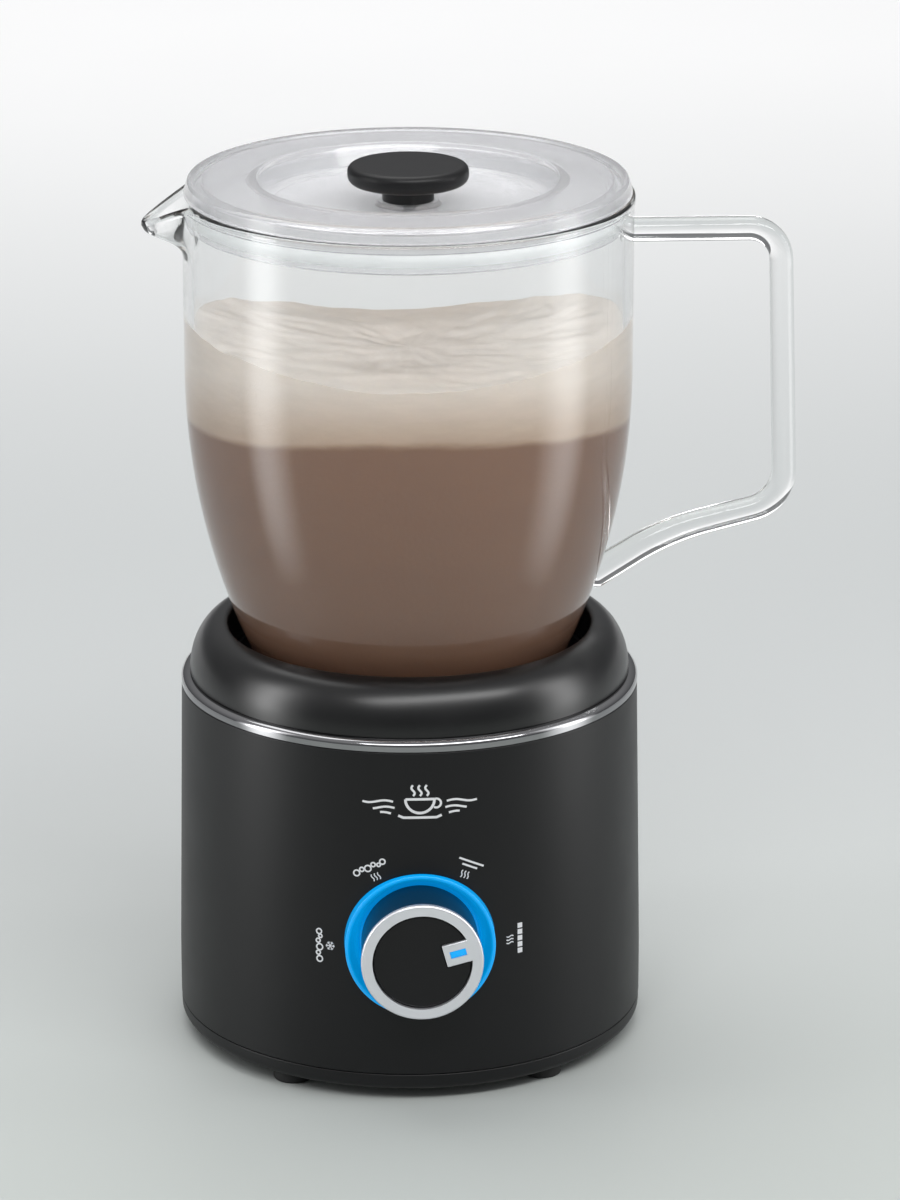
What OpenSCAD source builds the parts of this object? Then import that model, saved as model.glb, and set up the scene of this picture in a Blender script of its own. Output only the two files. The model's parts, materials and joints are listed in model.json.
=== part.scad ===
// Automatic milk frother: a heated base spins a magnetic whisk in a clear lift-off jug with a lid.
// The origin is on the jug's axis, on the surface that the feet stand on.
// The dial faces -Y, the handle points to +X and the spout to -X.

/* [Base] */
// Outer radius of the housing at its top edge
base_top_r = 65; // [64.6:0.1:65.4]
// Outer radius of the housing near its foot
base_foot_r = 66.5; // [66.2:0.1:67]
// Height of the base cover's underside above the surface
base_z = 3.6; // [3:0.1:4]
// Height of the seam between the base cover and the housing
seam_z = 8.4; // [8:0.1:9]
// Height of the housing's top edge, where the chrome ring sits
housing_z = 103.4; // [103:0.1:104]
// Height of the rim around the jug opening
collar_z = 121.3; // [120.6:0.1:122]
// Radius of the jug opening in the collar
opening_r = 51.5; // [51:0.1:52]
// Radius of a foot
foot_r = 5.7; // [5:0.1:6.5]
// Distance of a foot from the mid-plane, sideways
foot_x = 35.1; // [33:0.1:37]
// Distance of a foot from the mid-plane, front to back
foot_y = 46; // [44:0.1:46.5]

/* [Jug] */
// Outer radius of the jug at its rim
jug_r = 62.8; // [62.4:0.1:63]
// Thickness of the clear wall
jug_wall = 2.8; // [2.4:0.1:3]
// Height of the jug's rim
rim_z = 245.5; // [245:0.1:246]
// Height at which the wall starts to curve in
bend_z = 195; // [190:1:200]
// Radius of the curve in the wall
bend_r = 195; // [190:1:200]
// Height at which the bore widens into the lid's seat
lid_seat_z = 233; // [230:0.5:235]
// Height at which the clear wall meets the steel foot
jug_foot_z = 106; // [105.5:0.1:106.5]
// Thickness of the handle in its own plane
handle_t = 6.6; // [6:0.1:7.5]
// Width of the handle, front to back
handle_w = 7; // [6:0.1:8]

/* [Lid] */
// Height of the lid's top face
lid_z = 249.9; // [249.6:0.1:250.4]
// Radius of the dished middle
dish_r = 42.2; // [40:0.1:44]
// Height of the dish floor at its edge
dish_z = 243.2; // [243:0.1:243.6]
// Radius of the lid knob
knob_r = 16.9; // [15:0.1:18]
// Height of the top of the lid knob
knob_z = 253.3; // [253:0.1:254]

/* [Dial] */
// Height of the dial's axis
dial_z = 47.3; // [46.5:0.1:48]
// Radius of the blue bezel
bezel_r = 20.9; // [20.5:0.1:21.2]
// Distance from the jug's axis to the bezel's front edge
bezel_front = 67.2; // [67:0.1:67.6]
// Radius of the dial at its face
dial_r = 16.9; // [16.6:0.1:17]
// Distance from the jug's axis to the dial's face
dial_front = 79.25; // [79:0.05:79.5]
// Width of the pointer tab
tab_w = 6.4; // [5.6:0.1:7]
// Direction of the pointer, clockwise from straight up
pointer_angle = 75; // [-96:1:96]

/* [Drive] */
// Radius of the motor's can
motor_r = 17; // [16:0.5:17.5]
// Radius of the motor's shaft
shaft_r = 1.5; // [1.5:0.1:1.6]
// Radius of the magnetic hub below the well
hub_r = 13; // [12.5:0.1:13.2]
// Radius to the middle of the whisk's coil
whisk_r = 22; // [20:0.5:24]

/* [Heater] */
// Turns of the flat induction coil
coil_turns = 10; // [9:1:10]
// Distance from the axis to the temperature sensor
sensor_y = 18; // [17.9:0.1:18.1]

/* [Hidden] */
$fn = 72;

// Colours of the real pieces
black = "#232325";
rubber = "#1B1B1C";
chrome = "#C9CBCE";
steel = "#AEB1B5";
clear = "#D9E2E6";
blue = "#0A7FCF";
grey = "#8D9094";
board_green = "#1F5B3A";
copper = "#B36A35";

// Base levels
base_wall = 2.6;
edge_r = 3;
foot_in = base_foot_r - 2.8;
cover_t = 2.6;
cover_top = base_z + cover_t;
top_in = base_top_r - base_wall;
ring_top = housing_z + 3.4;
dome_r = top_in + 0.2;
dome_z = ring_top + 0.1;
lip_r = 1.5;
skirt_t = 2.2;
well_top = 109.2;
well_floor = 92;
well_under = well_floor - 2;
post_at = 57;
post_angles = [90, 210, 330];
cover_angles = [20, 160, 200, 340];
cover_screw_at = 56;

// Heater levels
carrier_z = 80;
carrier_t = 3;
carrier_in = 22.5;
carrier_out = 46;
coil_pitch = 2;
coil_z = carrier_z + carrier_t;
coil_in = carrier_in + 1.7;
coil_top = coil_z + 4;
bracket_z = 62;
bracket_t = 2;
bracket_post_at = 34;
bracket_angles = [30, 150, 270];
motor_z = 34;
motor_screw_at = 11;
spring_z = carrier_z - 0.5;
sensor_stem_z = 84.5;

// Board levels
board_z = 14;
board_t = 1.6;
board_top = board_z + board_t;
board_half = [45, 36];
board_hole = [40, 30];

// Dial levels, as distances in front of the jug's axis
bezel_floor = 60;
frame_front = 55.4;
panel_front = 44;
encoder_front = 51;
button_front = dial_front - 0.75;
frame_hole = [15.5, 13.5];

// Jug and lid
inlet_z = 20;
jug_in = jug_r - jug_wall;
bend_x = jug_r - bend_r;
seat_r = jug_in + 0.8;
skirt_r = seat_r - 1.4;
skirt_z = 237;
whisk_z = 95.2;
magnet_at = 8.5;
magnet_r = 3.25;

// Handle: the middle line runs out from the rim, down, and back in an S to the wall
handle_top = 233.9;
corner_x = 95.3;
corner_r = 9;
lean = 1.8;
low_r = 12;
low_z = 164;
arm_angle = 76;
arm_len = 13.5;
sweep_r = 75;
sweep_angle = 18;
grip_x = corner_x + corner_r * cos(lean);
grip_z = handle_top - corner_r + corner_r * sin(lean);
elbow_x = grip_x + (grip_z - low_z) * tan(lean);
low_cx = elbow_x - low_r * cos(lean);
low_cz = low_z - low_r * sin(lean);
arm_x = low_cx + low_r * cos(arm_angle);
arm_z = low_cz - low_r * sin(arm_angle);
bend_from_x = arm_x - arm_len * sin(arm_angle);
bend_from_z = arm_z - arm_len * cos(arm_angle);
sweep_cx = bend_from_x + sweep_r * cos(arm_angle);
sweep_cz = bend_from_z - sweep_r * sin(arm_angle);
sweep_from = 180 - arm_angle;
end_a = sweep_from + sweep_angle;
end_x = sweep_cx + sweep_r * cos(end_a);
end_z = sweep_cz + sweep_r * sin(end_a);
end_len = 14;

// ---- Helpers ----

// Points along an arc about [x, y], from angle a to angle b in degrees
function arc(x, y, r, a, b, n = 6) = [for (i = [0 : n]) [x + r * cos(a + (b - a) * i / n), y + r * sin(a + (b - a) * i / n)]];

// Points along a quarter of an ellipse, from its side to its top
function dome(x, y, rx, ry, n = 12) = [for (i = [0 : n]) [x + rx * cos(90 * i / n), y + ry * sin(90 * i / n)]];

// The same points in the other order
function flip(p) = [for (i = [len(p) - 1 : -1 : 0]) p[i]];

// Radius of the jug's wall at height z, for a surface set in by d
function wall_r(z, d = 0) = z >= bend_z ? jug_r - d : bend_x + sqrt(pow(bend_r - d, 2) - pow(bend_z - z, 2));

// Middle line of the handle as [x, z, thickness]
function handle_line() = concat(
    [[jug_r - 6, handle_top, handle_t]],
    [for (p = arc(corner_x, handle_top - corner_r, corner_r, 90, lean, 8)) [p[0], p[1], handle_t]],
    [for (p = arc(low_cx, low_cz, low_r, lean, -arm_angle, 8)) [p[0], p[1], handle_t + 0.2]],
    [for (i = [0 : 6]) let (a = sweep_from + sweep_angle * i / 6)
        [sweep_cx + sweep_r * cos(a), sweep_cz + sweep_r * sin(a), handle_t + 0.4 + 0.1 * i]],
    [[end_x - end_len * sin(end_a), end_z + end_len * cos(end_a), handle_t + 1.6]]);

// Direction of a line of points at point i
function heading(p, i) = let (a = p[max(i - 1, 0)], b = p[min(i + 1, len(p) - 1)]) atan2(b[1] - a[1], b[0] - a[0]);

// One side of a line that has a thickness: s is 1 for the left side and -1 for the right
function side(p, s) = [for (i = [0 : len(p) - 1]) let (a = heading(p, i) + 90, h = s * p[i][2] / 2)
    [p[i][0] + h * cos(a), p[i][1] + h * sin(a)]];

module ring(r_out, r_in, h) {
    rotate_extrude() translate([r_in, 0]) square([r_out - r_in, h]);
}

module around(angles, r) {
    for (a = angles) rotate(a) translate([r, 0, 0]) children();
}

module at_feet() {
    for (sx = [-1, 1], sy = [-1, 1]) translate([sx * foot_x, sy * foot_y, 0]) children();
}

module at_corners(half) {
    for (sx = [-1, 1], sy = [-1, 1]) translate([sx * half[0], sy * half[1], 0]) children();
}

// Puts a shape on the dial's axis: its own z is the distance in front of the jug's axis
module at_dial() {
    translate([0, 0, dial_z]) rotate([90, 0, 0]) children();
}

// Turns a dial shape so that its x axis lies along the pointer
module at_pointer() {
    at_dial() rotate(90 - pointer_angle) children();
}

// A screw that points up from its head: the head's seat is at z = 0
module screw(head_r, head_h, r, length) {
    difference() {
        union() {
            translate([0, 0, -head_h]) cylinder(r = head_r, h = head_h);
            cylinder(r = r, h = length);
        }
        translate([-head_r * 0.6, -0.35, -head_h - 0.1]) cube([head_r * 1.2, 0.7, head_h * 0.6]);
        translate([-0.35, -head_r * 0.6, -head_h - 0.1]) cube([0.7, head_r * 1.2, head_h * 0.6]);
    }
}

// A coil spring swept along a helix
module spring(r, wire_r, turns, height, steps = 12, sides = 6) {
    n = turns * steps;
    rings = [for (i = [0 : n]) let (a = 360 * i / steps, z = wire_r + (height - 2 * wire_r) * i / n)
        for (k = [0 : sides - 1]) let (b = 360 * k / sides, q = r + wire_r * cos(b))
            [q * cos(a), q * sin(a), z + wire_r * sin(b)]];
    faces = concat(
        [[for (k = [0 : sides - 1]) k]],
        [for (i = [0 : n - 1], k = [0 : sides - 1]) let (m = (k + 1) % sides)
            [i * sides + k, (i + 1) * sides + k, (i + 1) * sides + m, i * sides + m]],
        [[for (k = [sides - 1 : -1 : 0]) n * sides + k]]);
    polyhedron(points = rings, faces = faces, convexity = 10);
}

// ---- Base shells ----

module housing() {
    boss_h = 24;
    color(black) difference() {
        union() {
            rotate_extrude() polygon([[foot_in, seam_z + 0.2], [base_foot_r, seam_z + 0.2],
                [base_foot_r, 24], [base_top_r, housing_z], [top_in, housing_z], [foot_in, 24]]);
            around(cover_angles, cover_screw_at) translate([0, 0, cover_top]) cylinder(r = 4.2, h = boss_h);
            around(cover_angles, cover_screw_at) translate([3, -1, 12.5]) cube([foot_in - cover_screw_at - 2.5, 2, 17]);
        }
        around(cover_angles, cover_screw_at) translate([0, 0, cover_top - 1]) cylinder(r = 1.25, h = 14);
        at_dial() translate([0, 0, 40]) cylinder(r = bezel_r + 0.1, h = 40);
        translate([-9, 50, inlet_z - 6.5]) cube([18, 30, 13]);
    }
}

module top_collar() {
    color(black) difference() {
        union() {
            rotate_extrude() polygon(concat(
                [[top_in - skirt_t, 96], [top_in - 0.2, 96], [top_in - 0.2, dome_z]],
                dome(opening_r + lip_r, dome_z, dome_r - opening_r - lip_r, collar_z - dome_z),
                arc(opening_r + lip_r, collar_z - lip_r, lip_r, 105, 180, 5),
                [[opening_r, 110], [opening_r + 2.2, 110]],
                flip(dome(opening_r + 2.2, dome_z, top_in - skirt_t - opening_r - 2.2, collar_z - dome_z - 3))));
            around(post_angles, post_at) translate([0, 0, coil_z]) cylinder(r = 3.4, h = 114 - coil_z);
        }
        around(post_angles, post_at) translate([0, 0, coil_z - 1]) cylinder(r = 1.25, h = 15);
    }
}

module chrome_ring() {
    color(chrome) rotate_extrude() polygon(concat(
        [[top_in, housing_z], [base_top_r + 0.05, housing_z]],
        dome(top_in + 0.3, housing_z + 1.8, base_top_r - top_in - 0.25, ring_top - housing_z - 1.8, 6),
        [[top_in, ring_top]]));
}

module jug_well() {
    color(black) difference() {
        rotate_extrude() polygon(concat(
            [[0, well_under], [42.6, well_under], [46.4, 95.4], [51.6, 106], [51.9, 107.4], [53.2, 107.4],
                [53.2, well_top], [50.6, well_top], [49.6, 106.4], [44.6, 96.2]],
            arc(41.6, well_floor + 3.2, 3.2, -10, -90, 4),
            [[0, well_floor]]));
        translate([0, sensor_y, well_under - 1]) cylinder(r = 3.1, h = 4);
    }
}

module well_gasket() {
    color(rubber) translate([0, 0, well_top]) ring(53.2, opening_r + 0.1, 110 - well_top);
}

module base_cover() {
    color(black) difference() {
        union() {
            rotate_extrude() polygon(concat(
                [[0, base_z]],
                arc(base_foot_r - 0.1 - edge_r, base_z + edge_r, edge_r, -90, 0),
                [[base_foot_r - 0.1, seam_z], [foot_in - 0.3, seam_z], [foot_in - 0.3, 12], [foot_in - 1.9, 12],
                    [foot_in - 1.9, cover_top], [0, cover_top]]));
            at_corners(board_hole) translate([0, 0, cover_top - 0.5]) cylinder(r = 3, h = board_z - cover_top + 0.5);
        }
        at_feet() translate([0, 0, base_z - 1]) cylinder(r = foot_r + 0.05, h = 2.4);
        around(cover_angles, cover_screw_at) translate([0, 0, base_z - 1]) cylinder(r = 1.6, h = 5);
        around(cover_angles, cover_screw_at) translate([0, 0, base_z - 1]) cylinder(r = 3.1, h = 2.3);
        at_corners(board_hole) translate([0, 0, cover_top + 1]) cylinder(r = 1.15, h = 10);
        for (x = [-20 : 8 : 20]) translate([x - 1.5, -16, base_z - 1]) cube([3, 32, 5]);
    }
}

module feet() {
    color(rubber) at_feet() rotate_extrude() polygon([[0, 0], [foot_r - 0.6, 0], [foot_r, 0.6],
        [foot_r, base_z + 1.4], [0, base_z + 1.4]]);
}

module base_screws() {
    color(steel) around(cover_angles, cover_screw_at) translate([0, 0, base_z + 1.3]) screw(2.9, 1.2, 1.2, 12);
}

// ---- Heater and sensor ----

module coil_carrier() {
    color(grey) difference() {
        union() {
            translate([0, 0, carrier_z]) ring(carrier_out, carrier_in, carrier_t);
            translate([0, 0, coil_z - 0.5]) ring(carrier_out, carrier_out - 1.5, 5.5);
            translate([0, 0, coil_z - 0.5]) ring(carrier_in + 1.5, carrier_in, 4.2);
            around(post_angles, 0) translate([carrier_out - 1, -4.2, carrier_z]) cube([post_at - carrier_out + 1, 8.4, carrier_t]);
            around(post_angles, post_at) translate([0, 0, carrier_z]) cylinder(r = 4.2, h = carrier_t);
        }
        around(post_angles, post_at) translate([0, 0, carrier_z - 1]) cylinder(r = 1.6, h = 5);
        around(bracket_angles, bracket_post_at) translate([0, 0, carrier_z - 1]) cylinder(r = 1.45, h = 5);
    }
}

module carrier_screws() {
    color(steel) around(post_angles, post_at) translate([0, 0, carrier_z]) screw(2.8, 1.8, 1.2, 14);
}

module induction_coil() {
    turn = coil_pitch / 2;
    tops = [for (i = [0 : coil_turns - 1]) let (x = coil_in + turn + coil_pitch * i)
        each arc(x, coil_top - turn, turn, 165, 15, 4)];
    color(copper) rotate_extrude() polygon(concat(
        [[coil_in + coil_pitch * coil_turns, coil_z], [coil_in, coil_z]], tops));
}

module mica_sheet() {
    color("#C9B68A") translate([0, 0, coil_top]) ring(carrier_out - 1.7, carrier_in + 1.6, 0.6);
}

module ferrite_bars() {
    color("#3A3A3D") around([0 : 60 : 300], 25) translate([0, -2.5, carrier_z - 3]) cube([18, 5, 3]);
}

module sensor_guide() {
    color(grey) difference() {
        union() {
            translate([0, sensor_y, carrier_z - 2]) cylinder(r = 4.2, h = 9.2);
            translate([-4, sensor_y, carrier_z - 2]) cube([8, 11, 2]);
        }
        translate([0, sensor_y, spring_z]) cylinder(r = 3.05, h = 12);
    }
}

module sensor_cap() {
    color(steel) translate([0, sensor_y, 0]) rotate_extrude() polygon([[0, sensor_stem_z], [3, sensor_stem_z],
        [3, well_under - 1.1], [3.9, well_under - 1.1], [3.9, well_under], [2.9, well_under],
        [2.9, well_floor + 0.3], [2.5, well_floor + 0.7], [0, well_floor + 0.7]]);
}

module sensor_spring() {
    color(steel) translate([0, sensor_y, spring_z]) spring(2.3, 0.35, 5, sensor_stem_z - spring_z);
}

// ---- Motor and drive ----

module motor_bracket() {
    color(steel) difference() {
        union() {
            translate([0, 0, bracket_z]) cylinder(r = 38, h = bracket_t);
            around(bracket_angles, bracket_post_at) translate([0, 0, bracket_z + 1])
                cylinder(r = 3.2, h = carrier_z - bracket_z - 1);
        }
        translate([0, 0, bracket_z - 1]) cylinder(r = 5.1, h = 4);
        around(bracket_angles, bracket_post_at) translate([0, 0, bracket_z - 1]) cylinder(r = 1.6, h = 20);
        around([0, 180], motor_screw_at) translate([0, 0, bracket_z - 1]) cylinder(r = 1.5, h = 4);
        around([90, 210, 330], 27) translate([0, 0, bracket_z - 1]) cylinder(r = 7, h = 4);
    }
}

module bracket_screws() {
    color(steel) around(bracket_angles, bracket_post_at) translate([0, 0, bracket_z]) screw(2.8, 1.6, 1.4, 20.5);
}

module motor_can() {
    color(steel) difference() {
        union() {
            translate([0, 0, motor_z]) cylinder(r = motor_r, h = bracket_z - motor_z);
            translate([0, 0, bracket_z - 1]) cylinder(r = 5, h = 3.4);
        }
        translate([0, 0, motor_z - 1]) cylinder(r = motor_r - 1.2, h = bracket_z - motor_z - 1);
        translate([0, 0, 50]) cylinder(r = 3.4, h = 20);
        around([0, 180], motor_screw_at) translate([0, 0, 50]) cylinder(r = 1.25, h = 20);
        around([45, 135, 225, 315], 11) translate([0, 0, 58]) cylinder(r = 1.8, h = 6);
    }
}

module motor_end_cap() {
    color(black) difference() {
        union() {
            translate([0, 0, motor_z - 1.6]) cylinder(r = motor_r, h = 1.6);
            translate([0, 0, 33]) cylinder(r = 5, h = 4);
            around([60, 240], 12) translate([-0.6, -2.5, 27]) cube([1.2, 5, 6]);
        }
        translate([0, 0, 30]) cylinder(r = 3.4, h = 10);
    }
}

module stator_magnets() {
    color("#4A4A4E") difference() {
        translate([0, 0, 38]) ring(motor_r - 1.25, 13.2, 18);
        for (a = [45, 225]) rotate(a) translate([-20, -4, 37]) cube([40, 8, 20]);
    }
}

module motor_bushes() {
    color("#A8823C") for (z = [32.6, 60.2]) translate([0, 0, z]) ring(3.38, shaft_r + 0.05, 4.1);
}

module motor_screws() {
    color(steel) around([0, 180], motor_screw_at) translate([0, 0, bracket_z + bracket_t]) mirror([0, 0, 1]) screw(2.2, 1.5, 1.2, 3.6);
}

module motor_shaft() {
    color(chrome) translate([0, 0, 31]) cylinder(r = shaft_r, h = 53);
}

module rotor() {
    color("#7A4B2C") difference() {
        translate([0, 0, 39]) cylinder(r = 12.2, h = 16);
        translate([0, 0, 38]) cylinder(r = shaft_r + 0.01, h = 20);
        around([0 : 45 : 315], 7.5) translate([0, -1, 38]) cube([6, 2, 18]);
    }
}

module drive_hub() {
    color("#D8D4C8") difference() {
        union() {
            translate([0, 0, carrier_z]) cylinder(r = hub_r, h = 6);
            translate([0, 0, 68]) cylinder(r = 4.5, h = 13);
        }
        translate([0, 0, 67]) cylinder(r = shaft_r + 0.01, h = 20);
        around([0 : 90 : 270], magnet_at) translate([0, 0, carrier_z + 2.4]) cylinder(r = magnet_r + 0.05, h = 5);
    }
}

module drive_magnets() {
    color(chrome) around([0 : 90 : 270], magnet_at) translate([0, 0, carrier_z + 2.4]) cylinder(r = magnet_r, h = 3.6);
}

// ---- Electronics and power inlet ----

module main_board() {
    color(board_green) difference() {
        translate([-board_half[0], -board_half[1], board_z]) cube([2 * board_half[0], 2 * board_half[1], board_t]);
        at_corners(board_hole) translate([0, 0, board_z - 1]) cylinder(r = 1.4, h = 4);
    }
}

module board_screws() {
    color(steel) at_corners(board_hole) translate([0, 0, board_top]) mirror([0, 0, 1]) screw(2.4, 1.6, 1.1, 7);
}

module heat_sink() {
    color(grey) {
        translate([-44, -14, board_top]) cube([24, 28, 3.4]);
        for (i = [0 : 5]) translate([-44 + 4.4 * i, -14, board_top + 3]) cube([2, 28, 15]);
    }
}

module capacitors() {
    color("#2D3A63") for (p = [[30, -18, 7.5, 20], [34, 2, 6.5, 18], [12, -26, 5, 15]])
        translate([p[0], p[1], board_top]) cylinder(r = p[2], h = p[3]);
}

module choke() {
    color(copper) translate([26, 25, board_top]) difference() {
        cylinder(r = 8.5, h = 9);
        translate([0, 0, -1]) cylinder(r = 3.6, h = 11);
    }
}

module relay() {
    color("#22384E") translate([-34, 19, board_top]) cube([19, 14, 15]);
}

module power_inlet() {
    color(black) difference() {
        union() {
            translate([-8.9, 47, inlet_z - 6.4]) cube([17.8, 19.2, 12.8]);
            translate([-12, 57.6, inlet_z - 8.4]) cube([24, 2, 16.8]);
        }
        for (sx = [-1, 1]) translate([sx * 3.3, 54, inlet_z]) rotate([-90, 0, 0]) cylinder(r = 4, h = 20);
        translate([-3.3, 54, inlet_z - 3.4]) cube([6.6, 20, 6.8]);
    }
}

module inlet_pins() {
    color(chrome) for (sx = [-1, 1]) translate([sx * 3.3, 54, inlet_z]) rotate([-90, 0, 0]) cylinder(r = 1.2, h = 9);
}

// ---- Dial ----

module blue_bezel() {
    color(blue) at_dial() rotate_extrude() polygon([[3.8, bezel_floor - 1.6], [3.8, bezel_floor],
        [dial_r + 0.3, bezel_floor], [dial_r + 0.6, 62.4], [bezel_r - 0.8, bezel_front],
        [bezel_r - 0.3, bezel_front], [bezel_r, bezel_front - 0.4], [bezel_r, 57], [bezel_r + 2.5, 57],
        [bezel_r + 2.5, frame_front], [18, frame_front], [18, bezel_floor - 1.6]]);
}

module light_ring() {
    color("#DDF1FF") at_dial() translate([0, 0, frame_front + 1.2]) ring(17.6, 6, 1.7);
}

module dial_frame() {
    color(grey) at_dial() difference() {
        union() {
            translate([0, 0, frame_front - 1.8]) ring(23, 9.2, 1.8);
            translate([0, 0, frame_front - 0.5]) ring(17.5, 12, 1.7);
            at_corners(frame_hole) translate([0, 0, panel_front]) cylinder(r = 2.2, h = frame_front - panel_front - 1);
        }
        at_corners(frame_hole) translate([0, 0, panel_front - 1]) cylinder(r = 1.05, h = 8);
    }
}

module frame_screws() {
    color(steel) at_dial() at_corners(frame_hole) translate([0, 0, panel_front - board_t]) screw(2, 1.4, 1, 6.5);
}

module front_board() {
    color(board_green) at_dial() difference() {
        translate([-22, -19, panel_front - board_t]) cube([44, 38, board_t]);
        at_corners(frame_hole) translate([0, 0, panel_front - 3]) cylinder(r = 1.3, h = 4);
    }
}

module dial_leds() {
    color("white") at_dial() around([0 : 60 : 300], 14) translate([-1.6, -1, panel_front]) cube([3.2, 2, 1.2]);
}

module dial_encoder() {
    color("#3B3F45") at_dial() difference() {
        union() {
            translate([-8, -8, panel_front]) cube([16, 16, encoder_front - panel_front]);
            translate([0, 0, encoder_front - 1]) cylinder(r = 4.6, h = 6.4);
        }
        translate([0, 0, panel_front + 1]) cylinder(r = 3.56, h = 20);
    }
}

module dial_shaft() {
    color(steel) at_dial() translate([0, 0, 47]) ring(3.5, 1.7, 24.4);
}

module dial_knob() {
    cup_r = dial_r - 3.1;
    color(chrome) at_dial() rotate_extrude() polygon([[3.52, 64], [5.4, 64], [5.4, 69.8], [cup_r - 0.4, 69.8],
        [cup_r - 0.4, 61.6], [dial_r - 0.7, 61.6], [dial_r, dial_front - 1], [dial_r - 0.5, dial_front],
        [cup_r, dial_front], [cup_r, 71.6], [3.52, 71.6]]);
    color(chrome) at_pointer() difference() {
        translate([6.3, -tab_w / 2, dial_front - 1.9]) cube([cup_r - 5.8, tab_w, 1.9]);
        translate([7.9, -1.05, dial_front - 3]) cube([4.6, 2.1, 4]);
    }
}

module pointer_window() {
    color(blue) at_pointer() translate([7.95, -1, dial_front - 3.4]) cube([4.5, 2, 3.3]);
}

module start_button() {
    button_r = dial_r - 3.35;
    color(black) at_pointer() difference() {
        union() {
            translate([0, 0, 74.6]) cylinder(r = button_r, h = button_front - 75.1);
            translate([0, 0, button_front - 0.5]) cylinder(r1 = button_r, r2 = button_r - 0.5, h = 0.5);
            translate([0, 0, 46.2]) cylinder(r = 1.62, h = 30);
        }
        translate([6, -tab_w / 2 - 0.25, 72]) cube([20, tab_w + 0.5, 10]);
    }
}

// ---- Jug ----

// The jug's outer form as a solid, from its foot to its rim
module jug_form(d = 0, low = jug_foot_z, high = rim_z) {
    steps = 14;
    rotate_extrude() polygon(concat(
        [[0, low]],
        [for (i = [0 : steps]) let (z = low + (bend_z - low) * i / steps) [wall_r(z, d), z]],
        [[jug_r - d, high], [0, high]]));
}

module spout_form(d) {
    hull() {
        translate([-jug_r + 2.6 + d * 1.4, 0, 228 + d * 2]) sphere(r = 1.6, $fn = 32);
        for (s = [-1, 1]) translate([-jug_r + 5, s * (14 - d), 236 + d]) cylinder(r = 2, h = 7.8 + d * 4, $fn = 32);
        translate([-71.4 + d, 0, 237.4 + d]) cylinder(r = 2.5, h = 3.4 + d * 6, $fn = 32);
    }
}

module jug_body() {
    color(clear, 0.35) difference() {
        union() {
            jug_form();
            translate([0, 0, rim_z - 2.2]) cylinder(r = jug_r + 0.3, h = 2.2);
            spout_form(0);
        }
        jug_form(jug_wall, jug_foot_z - 1, rim_z + 1);
        translate([0, 0, lid_seat_z]) cylinder(r = seat_r, h = rim_z - lid_seat_z + 1);
        spout_form(1.9);
    }
}

module jug_handle() {
    line = handle_line();
    color(clear, 0.5) difference() {
        translate([0, handle_w / 2, 0]) rotate([90, 0, 0]) linear_extrude(handle_w)
            polygon(concat(side(line, 1), flip(side(line, -1))));
        jug_form();
    }
}

module jug_foot() {
    foot_out = wall_r(jug_foot_z);
    color(steel) rotate_extrude() polygon(concat(
        [[0, well_floor + 0.8], [35, well_floor + 0.8], [35.6, well_floor]],
        arc(foot_out - 2.7, well_floor + 2.7, 2.7, -90, 0, 4),
        [[foot_out, jug_foot_z - 1.4], [37.6, jug_foot_z - 1.4], [37.6, jug_foot_z - 2.2],
            [foot_out - 0.8, jug_foot_z - 2.2], [foot_out - 0.8, well_floor + 3], [foot_out - 2.4, well_floor + 1.6],
            [0, well_floor + 1.6]]));
}

module jug_seal() {
    color("#E4E6E6") translate([0, 0, jug_foot_z - 1.4]) ring(wall_r(jug_foot_z) - 0.1, 37.8, 1.4);
}

// ---- Whisk ----

module whisk_pin() {
    color(steel) rotate_extrude() polygon([[0, well_floor + 1.6], [6, well_floor + 1.6], [6, well_floor + 2.4],
        [2, well_floor + 2.9], [2, 111], [1.4, 112], [0, 112]]);
}

module whisk_hub() {
    color(black) difference() {
        union() {
            translate([0, 0, whisk_z]) cylinder(r = hub_r + 1, h = 4.4);
            translate([0, 0, whisk_z + 4]) cylinder(r = 5, h = 11);
        }
        translate([0, 0, whisk_z - 1]) cylinder(r = 2.06, h = 18);
        around([0 : 90 : 270], magnet_at) translate([0, 0, whisk_z + 0.6]) cylinder(r = magnet_r + 0.05, h = 5);
    }
}

module whisk_disc() {
    color(black) difference() {
        translate([0, 0, whisk_z + 4.4]) ring(whisk_r - 1.8, 5.02, 1.4);
        around([0 : 30 : 330], 8) translate([0, -1.4, whisk_z]) cube([8.5, 2.8, 10]);
    }
}

module whisk_coil() {
    color(chrome) translate([0, 0, whisk_z + 5.1]) rotate_extrude() translate([whisk_r, 0]) circle(r = 1.8);
}

module whisk_magnets() {
    color(chrome) around([0 : 90 : 270], magnet_at) translate([0, 0, whisk_z + 0.6]) cylinder(r = magnet_r, h = 3.8);
}

// ---- Lid ----

module lid_plate() {
    rim_r = jug_r - 0.4;
    color(clear, 0.5) rotate_extrude() polygon([[2.1, 240.2], [dish_r - 3.6, 241.2], [dish_r - 1.3, 242],
        [dish_r + 2.2, lid_z - 2.2], [skirt_r - 2, lid_z - 2.2], [skirt_r - 2, skirt_z], [skirt_r, skirt_z],
        [skirt_r, rim_z + 0.05], [rim_r, rim_z + 0.05], [rim_r, rim_z + 1], [rim_r - 1, lid_z - 0.6],
        [rim_r - 1.6, lid_z], [dish_r + 0.4, lid_z], [dish_r - 0.4, lid_z - 0.4], [dish_r - 3, dish_z + 0.8],
        [dish_r - 4.2, dish_z], [9.2, dish_z - 1], [8.5, dish_z], [2.1, dish_z]]);
}

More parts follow.
